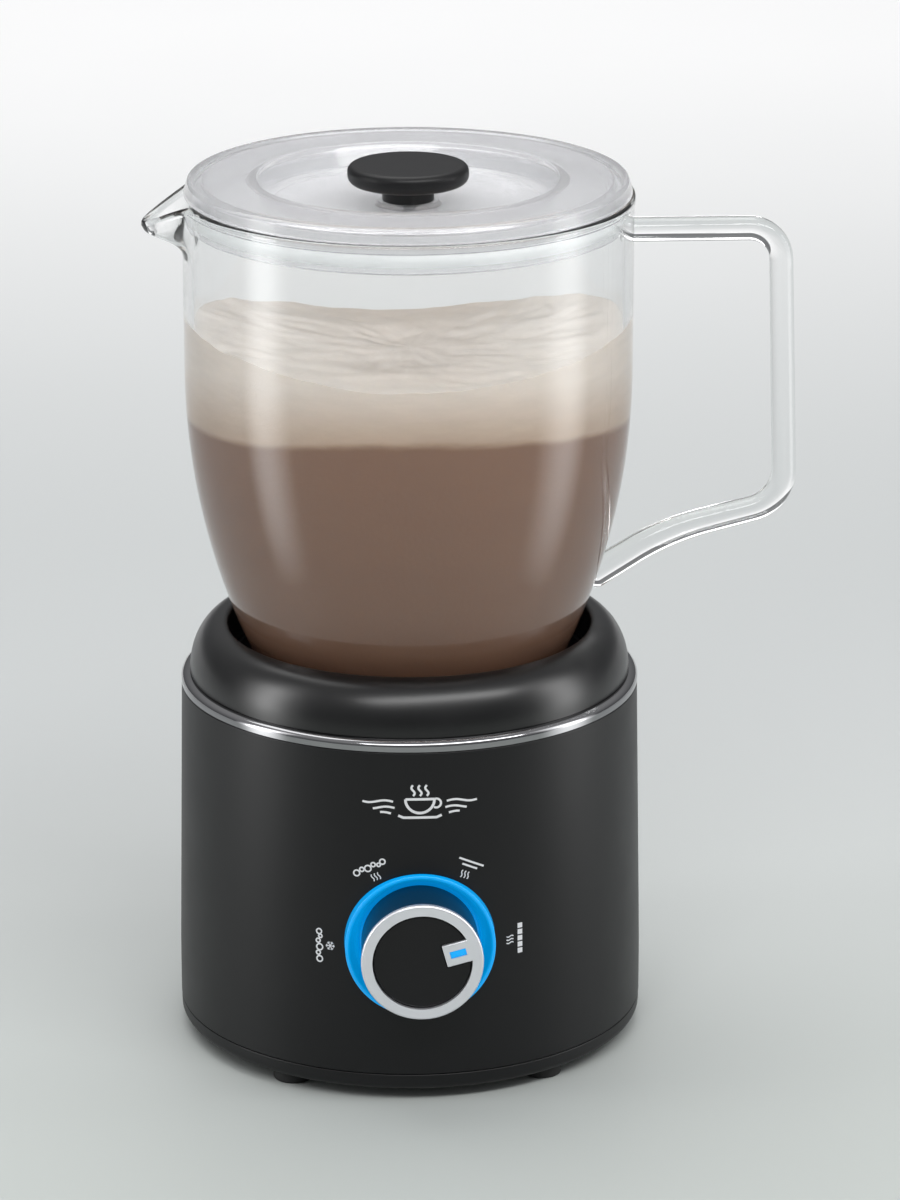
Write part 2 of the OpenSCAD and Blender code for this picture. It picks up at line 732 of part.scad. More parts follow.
module lid_seal() {
    color("#EDEFEF") rotate_extrude() polygon([[skirt_r, skirt_z + 2], [skirt_r + 0.6, skirt_z + 2],
        [skirt_r + 1.1, skirt_z + 2.8], [skirt_r + 0.6, skirt_z + 3.6], [skirt_r + 0.6, skirt_z + 4.4],
        [skirt_r + 1.1, skirt_z + 5.2], [skirt_r + 0.6, skirt_z + 6], [skirt_r, skirt_z + 6]]);
}

module lid_knob() {
    under = knob_z - 5.4;
    color(rubber) difference() {
        rotate_extrude() polygon(concat(
            [[0, dish_z], [7.2, dish_z], [7.2, under - 0.6], [8.2, under]],
            arc(knob_r - 2.7, under + 2.7, 2.7, -90, 0, 5),
            arc(knob_r - 1.9, knob_z - 1.9, 1.9, 0, 90, 5),
            [[0, knob_z + 0.1]]));
        translate([0, 0, dish_z - 1]) cylinder(r = 1.5, h = 7.5);
    }
}

module lid_screw() {
    color(steel) translate([0, 0, 240.2]) screw(3.4, 1.4, 1.45, 9);
}

housing();
top_collar();
chrome_ring();
jug_well();
well_gasket();
base_cover();
feet();
base_screws();
coil_carrier();
carrier_screws();
induction_coil();
mica_sheet();
ferrite_bars();
sensor_guide();
sensor_cap();
sensor_spring();
motor_bracket();
bracket_screws();
motor_can();
motor_end_cap();
stator_magnets();
motor_bushes();
motor_screws();
motor_shaft();
rotor();
drive_hub();
drive_magnets();
main_board();
board_screws();
heat_sink();
capacitors();
choke();
relay();
power_inlet();
inlet_pins();
blue_bezel();
light_ring();
dial_frame();
frame_screws();
front_board();
dial_leds();
dial_encoder();
dial_shaft();
dial_knob();
pointer_window();
start_button();
jug_body();
jug_handle();
jug_foot();
jug_seal();
whisk_pin();
whisk_hub();
whisk_disc();
whisk_coil();
whisk_magnets();
lid_plate();
lid_seal();
lid_knob();
lid_screw();
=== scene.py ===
"""Looks of an automatic milk frother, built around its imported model.

Each sub-assembly is a class with its sizes in millimetres as fields. A finish is a frozen dataclass
that makes its own material. The dial faces -Y, the handle points to +X and the spout to -X.
"""
import json
import logging
import math
from collections.abc import Callable, Iterator
from contextlib import contextmanager
from dataclasses import dataclass, field
from enum import Enum
from functools import cache

import bpy
from mathutils import Matrix, Vector


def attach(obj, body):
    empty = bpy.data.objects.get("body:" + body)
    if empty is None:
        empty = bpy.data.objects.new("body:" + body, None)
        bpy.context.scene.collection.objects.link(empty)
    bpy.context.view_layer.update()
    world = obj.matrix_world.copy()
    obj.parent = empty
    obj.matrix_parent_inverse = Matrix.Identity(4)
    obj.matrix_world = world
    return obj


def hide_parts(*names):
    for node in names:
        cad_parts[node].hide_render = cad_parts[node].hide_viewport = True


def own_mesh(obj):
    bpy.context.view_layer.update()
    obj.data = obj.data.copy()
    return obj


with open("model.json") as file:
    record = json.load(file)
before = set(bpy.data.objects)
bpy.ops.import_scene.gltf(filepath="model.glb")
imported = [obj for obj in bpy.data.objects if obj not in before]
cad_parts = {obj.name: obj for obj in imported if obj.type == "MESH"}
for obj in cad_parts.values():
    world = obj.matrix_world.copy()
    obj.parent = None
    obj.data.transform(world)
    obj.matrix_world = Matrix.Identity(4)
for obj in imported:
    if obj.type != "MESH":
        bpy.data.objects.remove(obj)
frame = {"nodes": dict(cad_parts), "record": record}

LOG = logging.getLogger("frother")
MM = 0.001  # one millimetre in metres
SPIN_STEPS = 160  # segments around, unless a piece asks for others
WELD = 2e-6  # points closer than this are merged, in metres
SMOOTH_ANGLE = math.radians(32)
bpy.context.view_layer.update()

Point = tuple[float, float]
Corner = tuple[float, float, float]
Place = tuple[float, float, float]


class Body(Enum):
    """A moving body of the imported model."""

    BASE = "base"
    DIAL = "dial"
    BUTTON = "button"
    JUG = "jug"
    WHISK = "whisk"
    LID = "lid"


class Axis(Enum):
    """The axis that an outline is spun about."""

    JUG = "jug"
    DIAL = "dial"


class Cut(Enum):
    """What a second solid does to the first."""

    AWAY = "DIFFERENCE"
    JOIN = "UNION"


# ---- Outlines, in millimetres ----


def arc(x: float, y: float, r: float, start: float, end: float, steps: int = 12) -> list[Point]:
    """Gives points along an arc.

    Args:
        x: Centre across.
        y: Centre along.
        r: Radius.
        start: First angle in degrees.
        end: Last angle in degrees.
        steps: Number of segments.

    Returns:
        The points from start to end.
    """
    angles = [math.radians(start + (end - start) * i / steps) for i in range(steps + 1)]
    return [(x + r * math.cos(a), y + r * math.sin(a)) for a in angles]


def dome(x: float, y: float, across: float, up: float, steps: int = 24) -> list[Point]:
    """Gives points along a quarter of an ellipse, from its side to its top.

    Args:
        x: Centre across.
        y: Centre along.
        across: Half width.
        up: Half height.
        steps: Number of segments.

    Returns:
        The points from the side to the top.
    """
    angles = [math.pi / 2 * i / steps for i in range(steps + 1)]
    return [(x + across * math.cos(a), y + up * math.sin(a)) for a in angles]


def rounded(corners: list[Corner]) -> list[Point]:
    """Rounds an outline's inner corners, with a support point beside each round.

    Args:
        corners: Across, along and fillet radius of each corner; the first and last stay sharp.

    Returns:
        The rounded outline.
    """
    points = [corners[0][:2]]
    for before, here, after in zip(corners, corners[1:], corners[2:]):
        a = Vector(before[:2]) - Vector(here[:2])
        b = Vector(after[:2]) - Vector(here[:2])
        turn = math.pi - a.angle(b)
        if here[2] <= 0 or turn < 0.01:
            points.append(here[:2])
            continue
        reach = here[2] * math.tan(turn / 2)
        reach = min(reach, 0.46 * a.length, 0.46 * b.length)
        radius = reach / math.tan(turn / 2)
        a.normalize()
        b.normalize()
        centre = Vector(here[:2]) + (a + b).normalized() * math.hypot(reach, radius)
        start = Vector(here[:2]) + a * reach - centre
        end = Vector(here[:2]) + b * reach - centre
        swing = start.angle_signed(end)
        steps = max(2, math.ceil(turn / math.radians(13)))
        points.append(tuple(centre + start + a * reach * 0.15))
        for i in range(steps + 1):
            swung = Matrix.Rotation(-swing * i / steps, 2) @ start
            points.append(tuple(centre + swung))
        points.append(tuple(centre + end + b * reach * 0.15))
    points.append(corners[-1][:2])
    return points


def refined(points: list[Point], step: float) -> list[Point]:
    """Adds points to an outline wherever two are further apart than step, in millimetres."""
    out = [points[0]]
    for a, b in zip(points, points[1:]):
        parts = max(1, math.ceil(math.dist(a, b) / step))
        out += [(a[0] + (b[0] - a[0]) * i / parts, a[1] + (b[1] - a[1]) * i / parts)
                for i in range(1, parts + 1)]
    return out


def ease(value: float, low: float, high: float) -> float:
    """Gives 0 below low and 1 above high, with a smooth rise between them."""
    t = min(1.0, max(0.0, (value - low) / (high - low)))
    return t * t * (3 - 2 * t)


# ---- Modelling ----


def select_only(*pieces: bpy.types.Object) -> None:
    """Selects these pieces and nothing else, and makes the first one active."""
    bpy.ops.object.select_all(action="DESELECT")
    for piece in pieces:
        piece.select_set(True)
    bpy.context.view_layer.objects.active = pieces[0]


@contextmanager
def editing(piece: bpy.types.Object) -> Iterator[None]:
    """Opens a piece in edit mode with all of it selected, and closes it again."""
    select_only(piece)
    bpy.ops.object.mode_set(mode="EDIT")
    bpy.ops.mesh.select_all(action="SELECT")
    yield
    bpy.ops.object.mode_set(mode="OBJECT")


def modify(piece: bpy.types.Object, kind: str, **settings: object) -> None:
    """Adds a modifier and applies it.

    Args:
        piece: The object to change.
        kind: Blender's name of the modifier.
        settings: Its settings by name.
    """
    select_only(piece)
    modifier = piece.modifiers.new(kind.lower(), kind)
    for name, value in settings.items():
        setattr(modifier, name, value)
    bpy.ops.object.modifier_apply(modifier=modifier.name)


def combine(piece: bpy.types.Object, other: bpy.types.Object, cut: Cut) -> None:
    """Cuts one closed solid with another, which is used up.

    Args:
        piece: The solid that stays.
        other: The solid that acts on it.
        cut: What it does.
    """
    modify(piece, "BOOLEAN", object=other, operation=cut.value, solver="EXACT")
    bpy.data.objects.remove(other)


def join(pieces: list[bpy.types.Object]) -> bpy.types.Object:
    """Joins pieces into the first one and gives it back."""
    select_only(*pieces)
    if len(pieces) > 1:
        bpy.ops.object.join()
    return pieces[0]


def settle(piece: bpy.types.Object, place: Matrix) -> None:
    """Puts a piece at its place and writes the place into its mesh."""
    select_only(piece)
    piece.matrix_world = place @ piece.matrix_world
    bpy.context.view_layer.update()
    bpy.ops.object.transform_apply(location=True, rotation=True, scale=True)


def chain(points: list[Place]) -> bpy.types.Object:
    """Draws a chain of edges, one extruded point after another.

    Args:
        points: The points in millimetres.

    Returns:
        The chain, as an object.
    """
    bpy.ops.object.select_all(action="DESELECT")
    bpy.ops.mesh.primitive_plane_add(size=MM, location=[c * MM for c in points[0]])
    piece = bpy.context.active_object
    bpy.ops.object.transform_apply(location=True)
    bpy.ops.object.mode_set(mode="EDIT")
    bpy.ops.mesh.select_mode(type="VERT")
    bpy.ops.mesh.select_all(action="SELECT")
    bpy.ops.mesh.merge(type="CENTER")
    for a, b in zip(points, points[1:]):
        step = [(q - p) * MM for p, q in zip(a, b)]
        bpy.ops.mesh.extrude_vertices_move(TRANSFORM_OT_translate={"value": step})
    bpy.ops.object.mode_set(mode="OBJECT")
    return piece


def close_solid() -> None:
    """Merges doubled points of the mesh in edit mode and turns its faces outwards."""
    bpy.ops.mesh.select_all(action="SELECT")
    bpy.ops.mesh.remove_doubles(threshold=WELD)
    bpy.ops.mesh.normals_make_consistent(inside=False)


def revolve(outline: list[Point], axis: Axis = Axis.JUG, steps: int = SPIN_STEPS,
            centre: Place = (0, 0, 0)) -> bpy.types.Object:
    """Spins an outline into a closed solid.

    Args:
        outline: Radius and height of each point; on the dial's axis the height is the distance
            in front of the jug's axis. An outline that leaves the axis is closed by itself.
        axis: The axis to spin about.
        steps: Segments around.
        centre: Where the axis stands, in millimetres.

    Returns:
        The solid.
    """
    loop = list(outline)
    if loop[0][0] > 0 or loop[-1][0] > 0:
        loop.append(loop[0])
    piece = chain([(x, 0, z) for x, z in loop])
    with editing(piece):
        bpy.ops.mesh.spin(steps=steps, angle=math.tau, center=(0, 0, 0), axis=(0, 0, 1))
        close_solid()
    turn = Matrix.Rotation(math.pi / 2, 4, "X") if axis is Axis.DIAL else Matrix.Identity(4)
    settle(piece, Matrix.Translation(Vector(centre) * MM) @ turn)
    return piece


def block(low: Place, high: Place, edge: float = 0.0, segments: int = 3) -> bpy.types.Object:
    """Makes a block with rounded edges.

    Args:
        low: Lowest corner in millimetres.
        high: Highest corner in millimetres.
        edge: Edge radius in millimetres.
        segments: Segments of each rounded edge.

    Returns:
        The block.
    """
    middle = [(a + b) / 2 * MM for a, b in zip(low, high)]
    bpy.ops.object.select_all(action="DESELECT")
    sides = [(b - a) * MM for a, b in zip(low, high)]
    bpy.ops.mesh.primitive_cube_add(size=1, location=middle, scale=sides)
    piece = bpy.context.active_object
    bpy.ops.object.transform_apply(location=True, rotation=True, scale=True)
    if edge:
        with editing(piece):
            bpy.ops.mesh.bevel(offset=edge * MM, segments=segments, affect="EDGES")
    return piece


def prism(outline: list[Point], depth: float, edge: float) -> bpy.types.Object:
    """Extrudes an outline in the XZ plane to both sides of Y = 0, with rounded long edges.

    Args:
        outline: The closed outline in millimetres.
        depth: Thickness along Y in millimetres.
        edge: Radius of the rounded edges in millimetres.

    Returns:
        The prism.
    """
    piece = chain([(x, -depth / 2, z) for x, z in outline + outline[:1]])
    with editing(piece):
        bpy.ops.mesh.remove_doubles(threshold=WELD)
        bpy.ops.mesh.edge_face_add()
        bpy.ops.mesh.extrude_region_move(TRANSFORM_OT_translate={"value": (0, depth * MM, 0)})
        close_solid()
    modify(piece, "BEVEL", width=edge * MM, segments=5, limit_method="ANGLE",
           angle_limit=math.radians(50))
    return piece


def weigh(piece: bpy.types.Object, name: str, rule: Callable[[Vector], float]) -> None:
    """Gives every point of a piece a weight.

    Args:
        piece: The object.
        name: Name of its vertex group.
        rule: Weight from 0 to 1 of a point in millimetres.
    """
    group = piece.vertex_groups.new(name=name)
    for vertex in piece.data.vertices:
        group.add([vertex.index], rule(vertex.co / MM), "REPLACE")


def push(piece: bpy.types.Object, direction: str, amount: float, rule: Callable[[Vector], float],
         **settings: object) -> None:
    """Moves the points of a piece along an axis, each by its weight.

    Args:
        piece: The object.
        direction: X, Y or Z.
        amount: Distance at full weight, in millimetres.
        rule: Weight from 0 to 1 of a point in millimetres.
        settings: Further settings of the displacement.
    """
    weigh(piece, "push", rule)
    modify(piece, "DISPLACE", direction=direction, strength=amount * MM, mid_level=0.0,
           vertex_group="push", **settings)
    piece.vertex_groups.clear()


# ---- Materials ----


def linear(colour: str) -> tuple[float, float, float, float]:
    """Turns an sRGB hex colour to linear light."""
    parts = [int(colour[i:i + 2], 16) / 255 for i in (1, 3, 5)]
    return (*[p / 12.92 if p <= 0.04045 else ((p + 0.055) / 1.055) ** 2.4 for p in parts], 1.0)


def per_mm(size: float) -> float:
    """Gives the texture scale whose pattern repeats about every size millimetres."""
    return 1 / (size * MM)


def add(tree: bpy.types.NodeTree, kind: str, inputs: dict[str | int, object] | None = None,
        **settings: object) -> bpy.types.Node:
    """Adds a node with its settings and links.

    Args:
        tree: The material's node tree.
        kind: The node's type without its ShaderNode prefix.
        inputs: A value or an output socket for each input, by name or number.
        settings: The node's own settings by name.

    Returns:
        The node.
    """
    node = tree.nodes.new("ShaderNode" + kind)
    for name, value in settings.items():
        setattr(node, name, value)
    for name, value in (inputs or {}).items():
        if isinstance(value, bpy.types.NodeSocket):
            tree.links.new(value, node.inputs[name])
        else:
            node.inputs[name].default_value = value
    return node


@dataclass(frozen=True)
class Finish:
    """A surface finish. Sizes are in millimetres.

    Its colour wanders a little between two tones, its roughness varies by the same cloudy pattern,
    and a fine grain lifts its surface.
    """

    name: str
    colour: str
    second: str
    roughness: float
    spread: float = 0.04
    cloud: float = 12.0
    grain: float = 0.5
    height: float = 0.01
    metallic: float = 0.0
    coat: float = 0.0
    ior: float = 1.5

    def pattern(self, tree: bpy.types.NodeTree) -> bpy.types.NodeSocket:
        """Gives the position that patterns are read at."""
        return add(tree, "TexCoord").outputs["Object"]

    def surface(self, tree: bpy.types.NodeTree) -> bpy.types.Node:
        """Adds the nodes of the surface.

        Args:
            tree: The material's node tree.

        Returns:
            The main shader.
        """
        place = self.pattern(tree)
        cloud = add(tree, "TexNoise", {"Vector": place, "Scale": per_mm(self.cloud), "Detail": 3.0})
        tone = self.tone(tree, cloud.outputs[0])
        grain = add(tree, "TexNoise", {"Vector": place, "Scale": per_mm(self.grain), "Detail": 2.0})
        bump = add(tree, "Bump", {"Height": grain.outputs[0], "Distance": self.height * MM,
                                  "Strength": 1.0})
        rough = add(tree, "MapRange", {"Value": cloud.outputs[0],
                                       "To Min": self.roughness - self.spread,
                                       "To Max": self.roughness + self.spread})
        shader = add(tree, "BsdfPrincipled", {
            "Base Color": tone, "Roughness": rough.outputs[0], "Normal": bump.outputs[0],
            "Metallic": self.metallic, "Coat Weight": self.coat, "Coat Roughness": 0.06})
        if not self.metallic:
            shader.inputs["IOR"].default_value = self.ior
        return shader

    def tone(self, tree: bpy.types.NodeTree, factor: bpy.types.NodeSocket) -> bpy.types.NodeSocket:
        """Mixes the two tones by a factor and gives the colour."""
        mix = add(tree, "Mix", {0: factor, 6: linear(self.colour), 7: linear(self.second)},
                  data_type="RGBA")
        return mix.outputs[2]

    @cache
    def material(self) -> bpy.types.Material:
        """Makes the material once and gives it back."""
        made = bpy.data.materials.new(self.name)
        made.use_nodes = True
        made.node_tree.nodes.clear()
        shader = self.surface(made.node_tree)
        add(made.node_tree, "OutputMaterial", {"Surface": shader.outputs[0]})
        return made


@dataclass(frozen=True)
class BrushedMetal(Finish):
    """Metal with fine lines left by turning or brushing around Z."""

    stretch: float = 40.0

    def pattern(self, tree: bpy.types.NodeTree) -> bpy.types.NodeSocket:
        """Gives a position that is drawn out sideways, so that a pattern becomes lines."""
        place = add(tree, "TexCoord").outputs["Object"]
        drawn = (1 / self.stretch, 1 / self.stretch, 1.0)
        return add(tree, "Mapping", {"Vector": place, "Scale": drawn}).outputs[0]


@dataclass(frozen=True)
class ClearPlastic(Finish):
    """Clear moulded plastic. Lamps shine through it, so that what it holds isn't in the dark."""

    transmission: float = 1.0
    passing: str = "#F6F7F7"

    def surface(self, tree: bpy.types.NodeTree) -> bpy.types.Node:
        """Adds the nodes of the surface.

        Args:
            tree: The material's node tree.

        Returns:
            The main shader, which lets shadow rays pass.
        """
        glass = super().surface(tree)
        glass.inputs["Transmission Weight"].default_value = self.transmission
        passing = add(tree, "BsdfTransparent", {"Color": linear(self.passing)})
        ray = add(tree, "LightPath")
        return add(tree, "MixShader", {0: ray.outputs["Is Shadow Ray"], 1: glass.outputs[0],
                                       2: passing.outputs[0]})


@dataclass(frozen=True)
class LitPlastic(Finish):
    """Coloured plastic with a lamp behind it."""

    glow: float = 0.3

    def surface(self, tree: bpy.types.NodeTree) -> bpy.types.Node:
        """Adds the nodes of the surface, with a steady glow, and gives the main shader."""
        shader = super().surface(tree)
        shader.inputs["Emission Color"].default_value = linear(self.colour)
        shader.inputs["Emission Strength"].default_value = self.glow
        return shader


@dataclass(frozen=True)
class FrothedDrink(Finish):
    """Frothed chocolate milk: brown below, pale froth above, with a soft line between them; painted shade
    darkens it near the bottom and on faces that point up.
    """

    froth: str = "#C7BEB5"
    under: str = "#A7927F"
    # Painted shade: the colour the drink darkens to at the bottom, where the collar shades it.
    collar_shade_colour: str = "#3F261A"
    line_z: float = 183.5
    line_rise: float = 7.5
    line_soft: float = 2.6
    jug_r: float = 61.0
    # Painted shade: the colour of faces that point up is multiplied by this.
    top_shade: float = 0.88

    def surface(self, tree: bpy.types.NodeTree) -> bpy.types.Node:
        """Adds the nodes of the surface.

        Args:
            tree: The material's node tree.

        Returns:
            The main shader.
        """
        shader = super().surface(tree)
        place = add(tree, "TexCoord").outputs["Object"]
        parts = add(tree, "SeparateXYZ", {0: place})
        streaks = add(tree, "Mapping", {"Vector": place, "Scale": (0.5, 0.5, 2.2)})
        wander = add(tree, "TexNoise", {"Vector": streaks.outputs[0], "Scale": per_mm(16),
                                        "Detail": 5.0, "Roughness": 0.6})
        side = add(tree, "Math", {0: parts.outputs["X"], 1: 1 / (self.jug_r * MM)},
                   operation="MULTIPLY")
        square = add(tree, "Math", {0: side.outputs[0], 1: side.outputs[0]}, operation="MULTIPLY")
        sunk = add(tree, "Math", {0: square.outputs[0], 1: self.line_rise * MM,
                                  2: parts.outputs["Z"]}, operation="MULTIPLY_ADD")
        level = add(tree, "Math", {0: wander.outputs[0], 1: 3.5 * MM, 2: sunk.outputs[0]},
                    operation="MULTIPLY_ADD")
        top = (self.line_z + self.line_rise) * MM
        froth_line = add(tree, "MapRange", {
            "Value": level.outputs[0], "From Min": top - self.line_soft * 0.35 * MM,
            "From Max": top + self.line_soft * 0.65 * MM}, interpolation_type="SMOOTHSTEP")
        pale_line = add(tree, "MapRange", {
            "Value": level.outputs[0], "From Min": top, "From Max": top + 17 * MM})
        # Painted shade: a mask that darkens the drink towards the bottom, where the collar shades it.
        collar_shade_mask = add(tree, "MapRange", {
            "Value": parts.outputs["Z"], "From Min": 106 * MM, "From Max": 128 * MM},
            interpolation_type="SMOOTHSTEP")
        froth = add(tree, "Mix", {0: pale_line.outputs[0], 6: linear(self.under),
                                  7: linear(self.froth)}, data_type="RGBA")
        flecks = add(tree, "TexNoise", {"Vector": streaks.outputs[0], "Scale": per_mm(7),
                                        "Detail": 6.0, "Roughness": 0.65})
        shade = add(tree, "MapRange", {"Value": flecks.outputs[0], "To Min": 0.86, "To Max": 1.1})
        froth = add(tree, "VectorMath", {0: froth.outputs[2], 1: shade.outputs[0]},
                    operation="MULTIPLY")
        # Painted shade is mixed in towards the bottom.
        drink = add(tree, "Mix", {0: collar_shade_mask.outputs[0], 6: linear(self.collar_shade_colour),
                                  7: self.tone(tree, wander.outputs[0])}, data_type="RGBA")
        whole = add(tree, "Mix", {0: froth_line.outputs[0], 6: drink.outputs[2],
                                  7: froth.outputs[0]}, data_type="RGBA")
        # Painted shade: faces that point up are darkened so that the froth's top, which catches the
        # overhead light, reads as dark as its side.
        facing = add(tree, "SeparateXYZ", {0: add(tree, "NewGeometry").outputs["Normal"]})
        top_shade_factor = add(tree, "MapRange", {"Value": facing.outputs["Z"], "From Min": 0.2, "From Max": 0.9,
                                     "To Min": 1.0, "To Max": self.top_shade},
                  interpolation_type="SMOOTHSTEP")
        seen = add(tree, "VectorMath", {0: whole.outputs[2], 1: top_shade_factor.outputs[0]}, operation="MULTIPLY")
        tree.links.new(seen.outputs[0], shader.inputs["Base Color"])
        shader.inputs["Subsurface Weight"].default_value = 0.15
        shader.inputs["Subsurface Radius"].default_value = (0.004, 0.003, 0.002)
        return shader


@dataclass(frozen=True)
class Ground(Finish):
    """A pale floor that is a little darker close by, as under soft light from behind."""

    near: str = "#B4B9B6"
    far: str = "#FFFFFF"
    shine: float = 0.2

    def surface(self, tree: bpy.types.NodeTree) -> bpy.types.Node:
        """Adds the nodes of the surface and gives the main shader."""
        shader = super().surface(tree)
        place = add(tree, "TexCoord").outputs["Object"]
        parts = add(tree, "SeparateXYZ", {0: place})
        close = add(tree, "MapRange", {"Value": parts.outputs["Y"], "From Min": -0.2,
                                       "From Max": 0.3}, interpolation_type="SMOOTHSTEP")
        away = add(tree, "MapRange", {"Value": parts.outputs["Y"], "From Min": 0.35,
                                      "From Max": 1.4}, interpolation_type="SMOOTHSTEP")
        middle = add(tree, "Mix", {0: close.outputs[0], 6: linear(self.near),
                                   7: linear(self.colour)}, data_type="RGBA")
        whole = add(tree, "Mix", {0: away.outputs[0], 6: middle.outputs[2], 7: linear(self.far)},
                    data_type="RGBA")
        tree.links.new(whole.outputs[2], shader.inputs["Base Color"])
        shader.inputs["Specular IOR Level"].default_value = self.shine
        return shader


# ABS moulded in a fine-grained tool: a satin black that spreads highlights softly.
SATIN_BLACK = Finish("satin_black_moulded_abs", "#060608", "#09090B", 0.44, height=0.006, ior=1.4)
# The same ABS from a polished tool, used on the collar: highlights are tighter.
POLISHED_BLACK = Finish("polished_black_moulded_abs", "#0B0B0C", "#0E0E0F", 0.3, height=0.003)
# Nitrile rubber from a matt tool: dark, no clear reflections.
RUBBER = Finish("matt_black_moulded_rubber", "#131313", "#1A1A1A", 0.7, height=0.02, grain=0.4)
# Decorative chrome plated on ABS: mirror bright, with a trace of haze.
CHROME = Finish("bright_chrome_plating", "#98989A", "#909092", 0.09, 0.02, height=0.0008, metallic=1.0)
# Satin chrome plated on a blasted moulding: pale and softly blurred.
SATIN_CHROME = Finish("satin_chrome_plating", "#EDEEF3", "#E5E6EB", 0.38, 0.03, grain=0.3,
                      height=0.001, metallic=0.8)
# Stainless steel, deep drawn and polished around: fine lines follow the turning.
STEEL = BrushedMetal("turned_stainless_steel", "#B4B5B7", "#A6A8AA", 0.28, 0.05, grain=0.25,
                     height=0.004, metallic=1.0)
# Copolyester moulded in a polished tool: water clear with a glassy skin.
CLEAR = ClearPlastic("clear_moulded_copolyester", "#FEFEFE", "#FBFCFC", 0.012, 0.008, 40, 14.0, 0.0006,
                     ior=1.43)
# The lid's copolyester comes from a finely blasted tool, so it is a little milky.
MILKY = ClearPlastic("frosted_moulded_copolyester", "#E7E7E9", "#E1E1E3", 0.15, 0.03, 20, 0.6, 0.002,
                     ior=1.4, transmission=0.82, passing="#E2E3E3")
# Food silicone, moulded: soft white with a waxy skin.
SILICONE = ClearPlastic("white_moulded_silicone", "#F2F3F3", "#EAECEC", 0.35, 0.05, 10, 0.5, 0.01,
                        ior=1.41, transmission=0.55)
# Polycarbonate in solid blue, polished, with lamps behind it.
BLUE = LitPlastic("lit_blue_polycarbonate", "#0295DC", "#028ED2", 0.22, 0.03, height=0.002, ior=1.5,
                  glow=0.56)
# Opal acrylic light guide: evenly white.
OPAL = Finish("opal_acrylic", "#DCE8F0", "#D3E1EA", 0.3, ior=1.49)
# Glass-filled nylon for inner frames: dull grey with a rough grain.
GREY = Finish("grey_glass_filled_nylon", "#7F8286", "#747779", 0.55, grain=0.8, height=0.03)
# Natural acetal: ivory and waxy.
IVORY = Finish("ivory_moulded_acetal", "#D6D2C3", "#CCC7B6", 0.4)
# Enamelled copper wire, wound: each turn shows as a line.
COPPER = BrushedMetal("wound_enamelled_copper", "#B4693A", "#9C5730", 0.3, 0.06, grain=0.9,
                      height=0.05, metallic=1.0)
# Sintered bronze: pores leave it dull.
BRONZE = Finish("sintered_bronze", "#A07B45", "#8B6937", 0.5, grain=0.3, height=0.02, metallic=1.0)
# Ferrite and laminated iron: dark, dry and grainy.
IRON = Finish("sintered_ferrite", "#434347", "#37373A", 0.6, grain=0.4, height=0.03)
# Glass-epoxy board under a green solder mask: glossy over a woven base.
BOARD = Finish("green_solder_mask", "#17532F", "#124427", 0.32, grain=0.7, height=0.01)
# Extruded aluminium: pale, with drawn lines.
ALUMINIUM = BrushedMetal("extruded_aluminium", "#B9BABC", "#ABADAF", 0.36, 0.05, grain=0.4,
                         height=0.01, metallic=1.0)
# Pressed mica sheet: flaky and pearly.
MICA = Finish("pressed_mica_sheet", "#C4B282", "#A9966A", 0.4, 0.08, 4, 1.6, 0.04)
# PVC shrink sleeve: dark blue and glossy.
SLEEVE = Finish("dark_blue_shrink_sleeve", "#263760", "#202F54", 0.28)
# Silver screen print: a dry metallic ink.
PRINT = Finish("silver_screen_print", "#E2E3E5", "#D8D9DC", 0.42, grain=0.2, height=0.004)
# Frothed drink: a wet skin over an opaque body, with painted shade near the bottom and on faces that point
# up.
DRINK = FrothedDrink("frothed_chocolate_milk", "#735646", "#785B49", 0.32, 0.05, 14, 1.4, 0.05)
# Pale floor, lightly polished.
FLOOR = Ground("pale_polished_floor", "#BFC2C2", "#B9BCBC", 0.4, 0.05, 300, 30, 0.01)

SLOT_FINISHES = {
    "satin_black": SATIN_BLACK, "rubber_black": RUBBER, "chrome": CHROME, "clear_plastic": CLEAR,
    "white_silicone": SILICONE, "blue_plastic": BLUE, "milky_plastic": OPAL, "steel": STEEL,
    "grey_plastic": GREY, "ivory_plastic": IVORY, "copper": COPPER, "bronze": BRONZE,
    "iron": IRON, "board_green": BOARD, "aluminium": ALUMINIUM, "mica": MICA,
    "blue_sleeve": SLEEVE,
}


def present(piece: bpy.types.Object, name: str, finish: Finish, body: Body, slot: str,
            *replaced: str) -> bpy.types.Object:
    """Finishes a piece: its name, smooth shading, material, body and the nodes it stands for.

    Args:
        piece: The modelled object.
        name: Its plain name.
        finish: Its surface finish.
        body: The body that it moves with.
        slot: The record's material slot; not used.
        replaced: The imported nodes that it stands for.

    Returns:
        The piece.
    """
    piece.name = name
    piece.data.name = name
    piece.data.materials.clear()
    piece.data.materials.append(finish.material())
    select_only(piece)
    bpy.ops.object.shade_smooth_by_angle(angle=SMOOTH_ANGLE)
    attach(piece, body.value)
    if replaced:
        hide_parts(*replaced)
    LOG.info("%s: %d faces", name, len(piece.data.polygons))
    return piece


# ---- Sub-assemblies ----


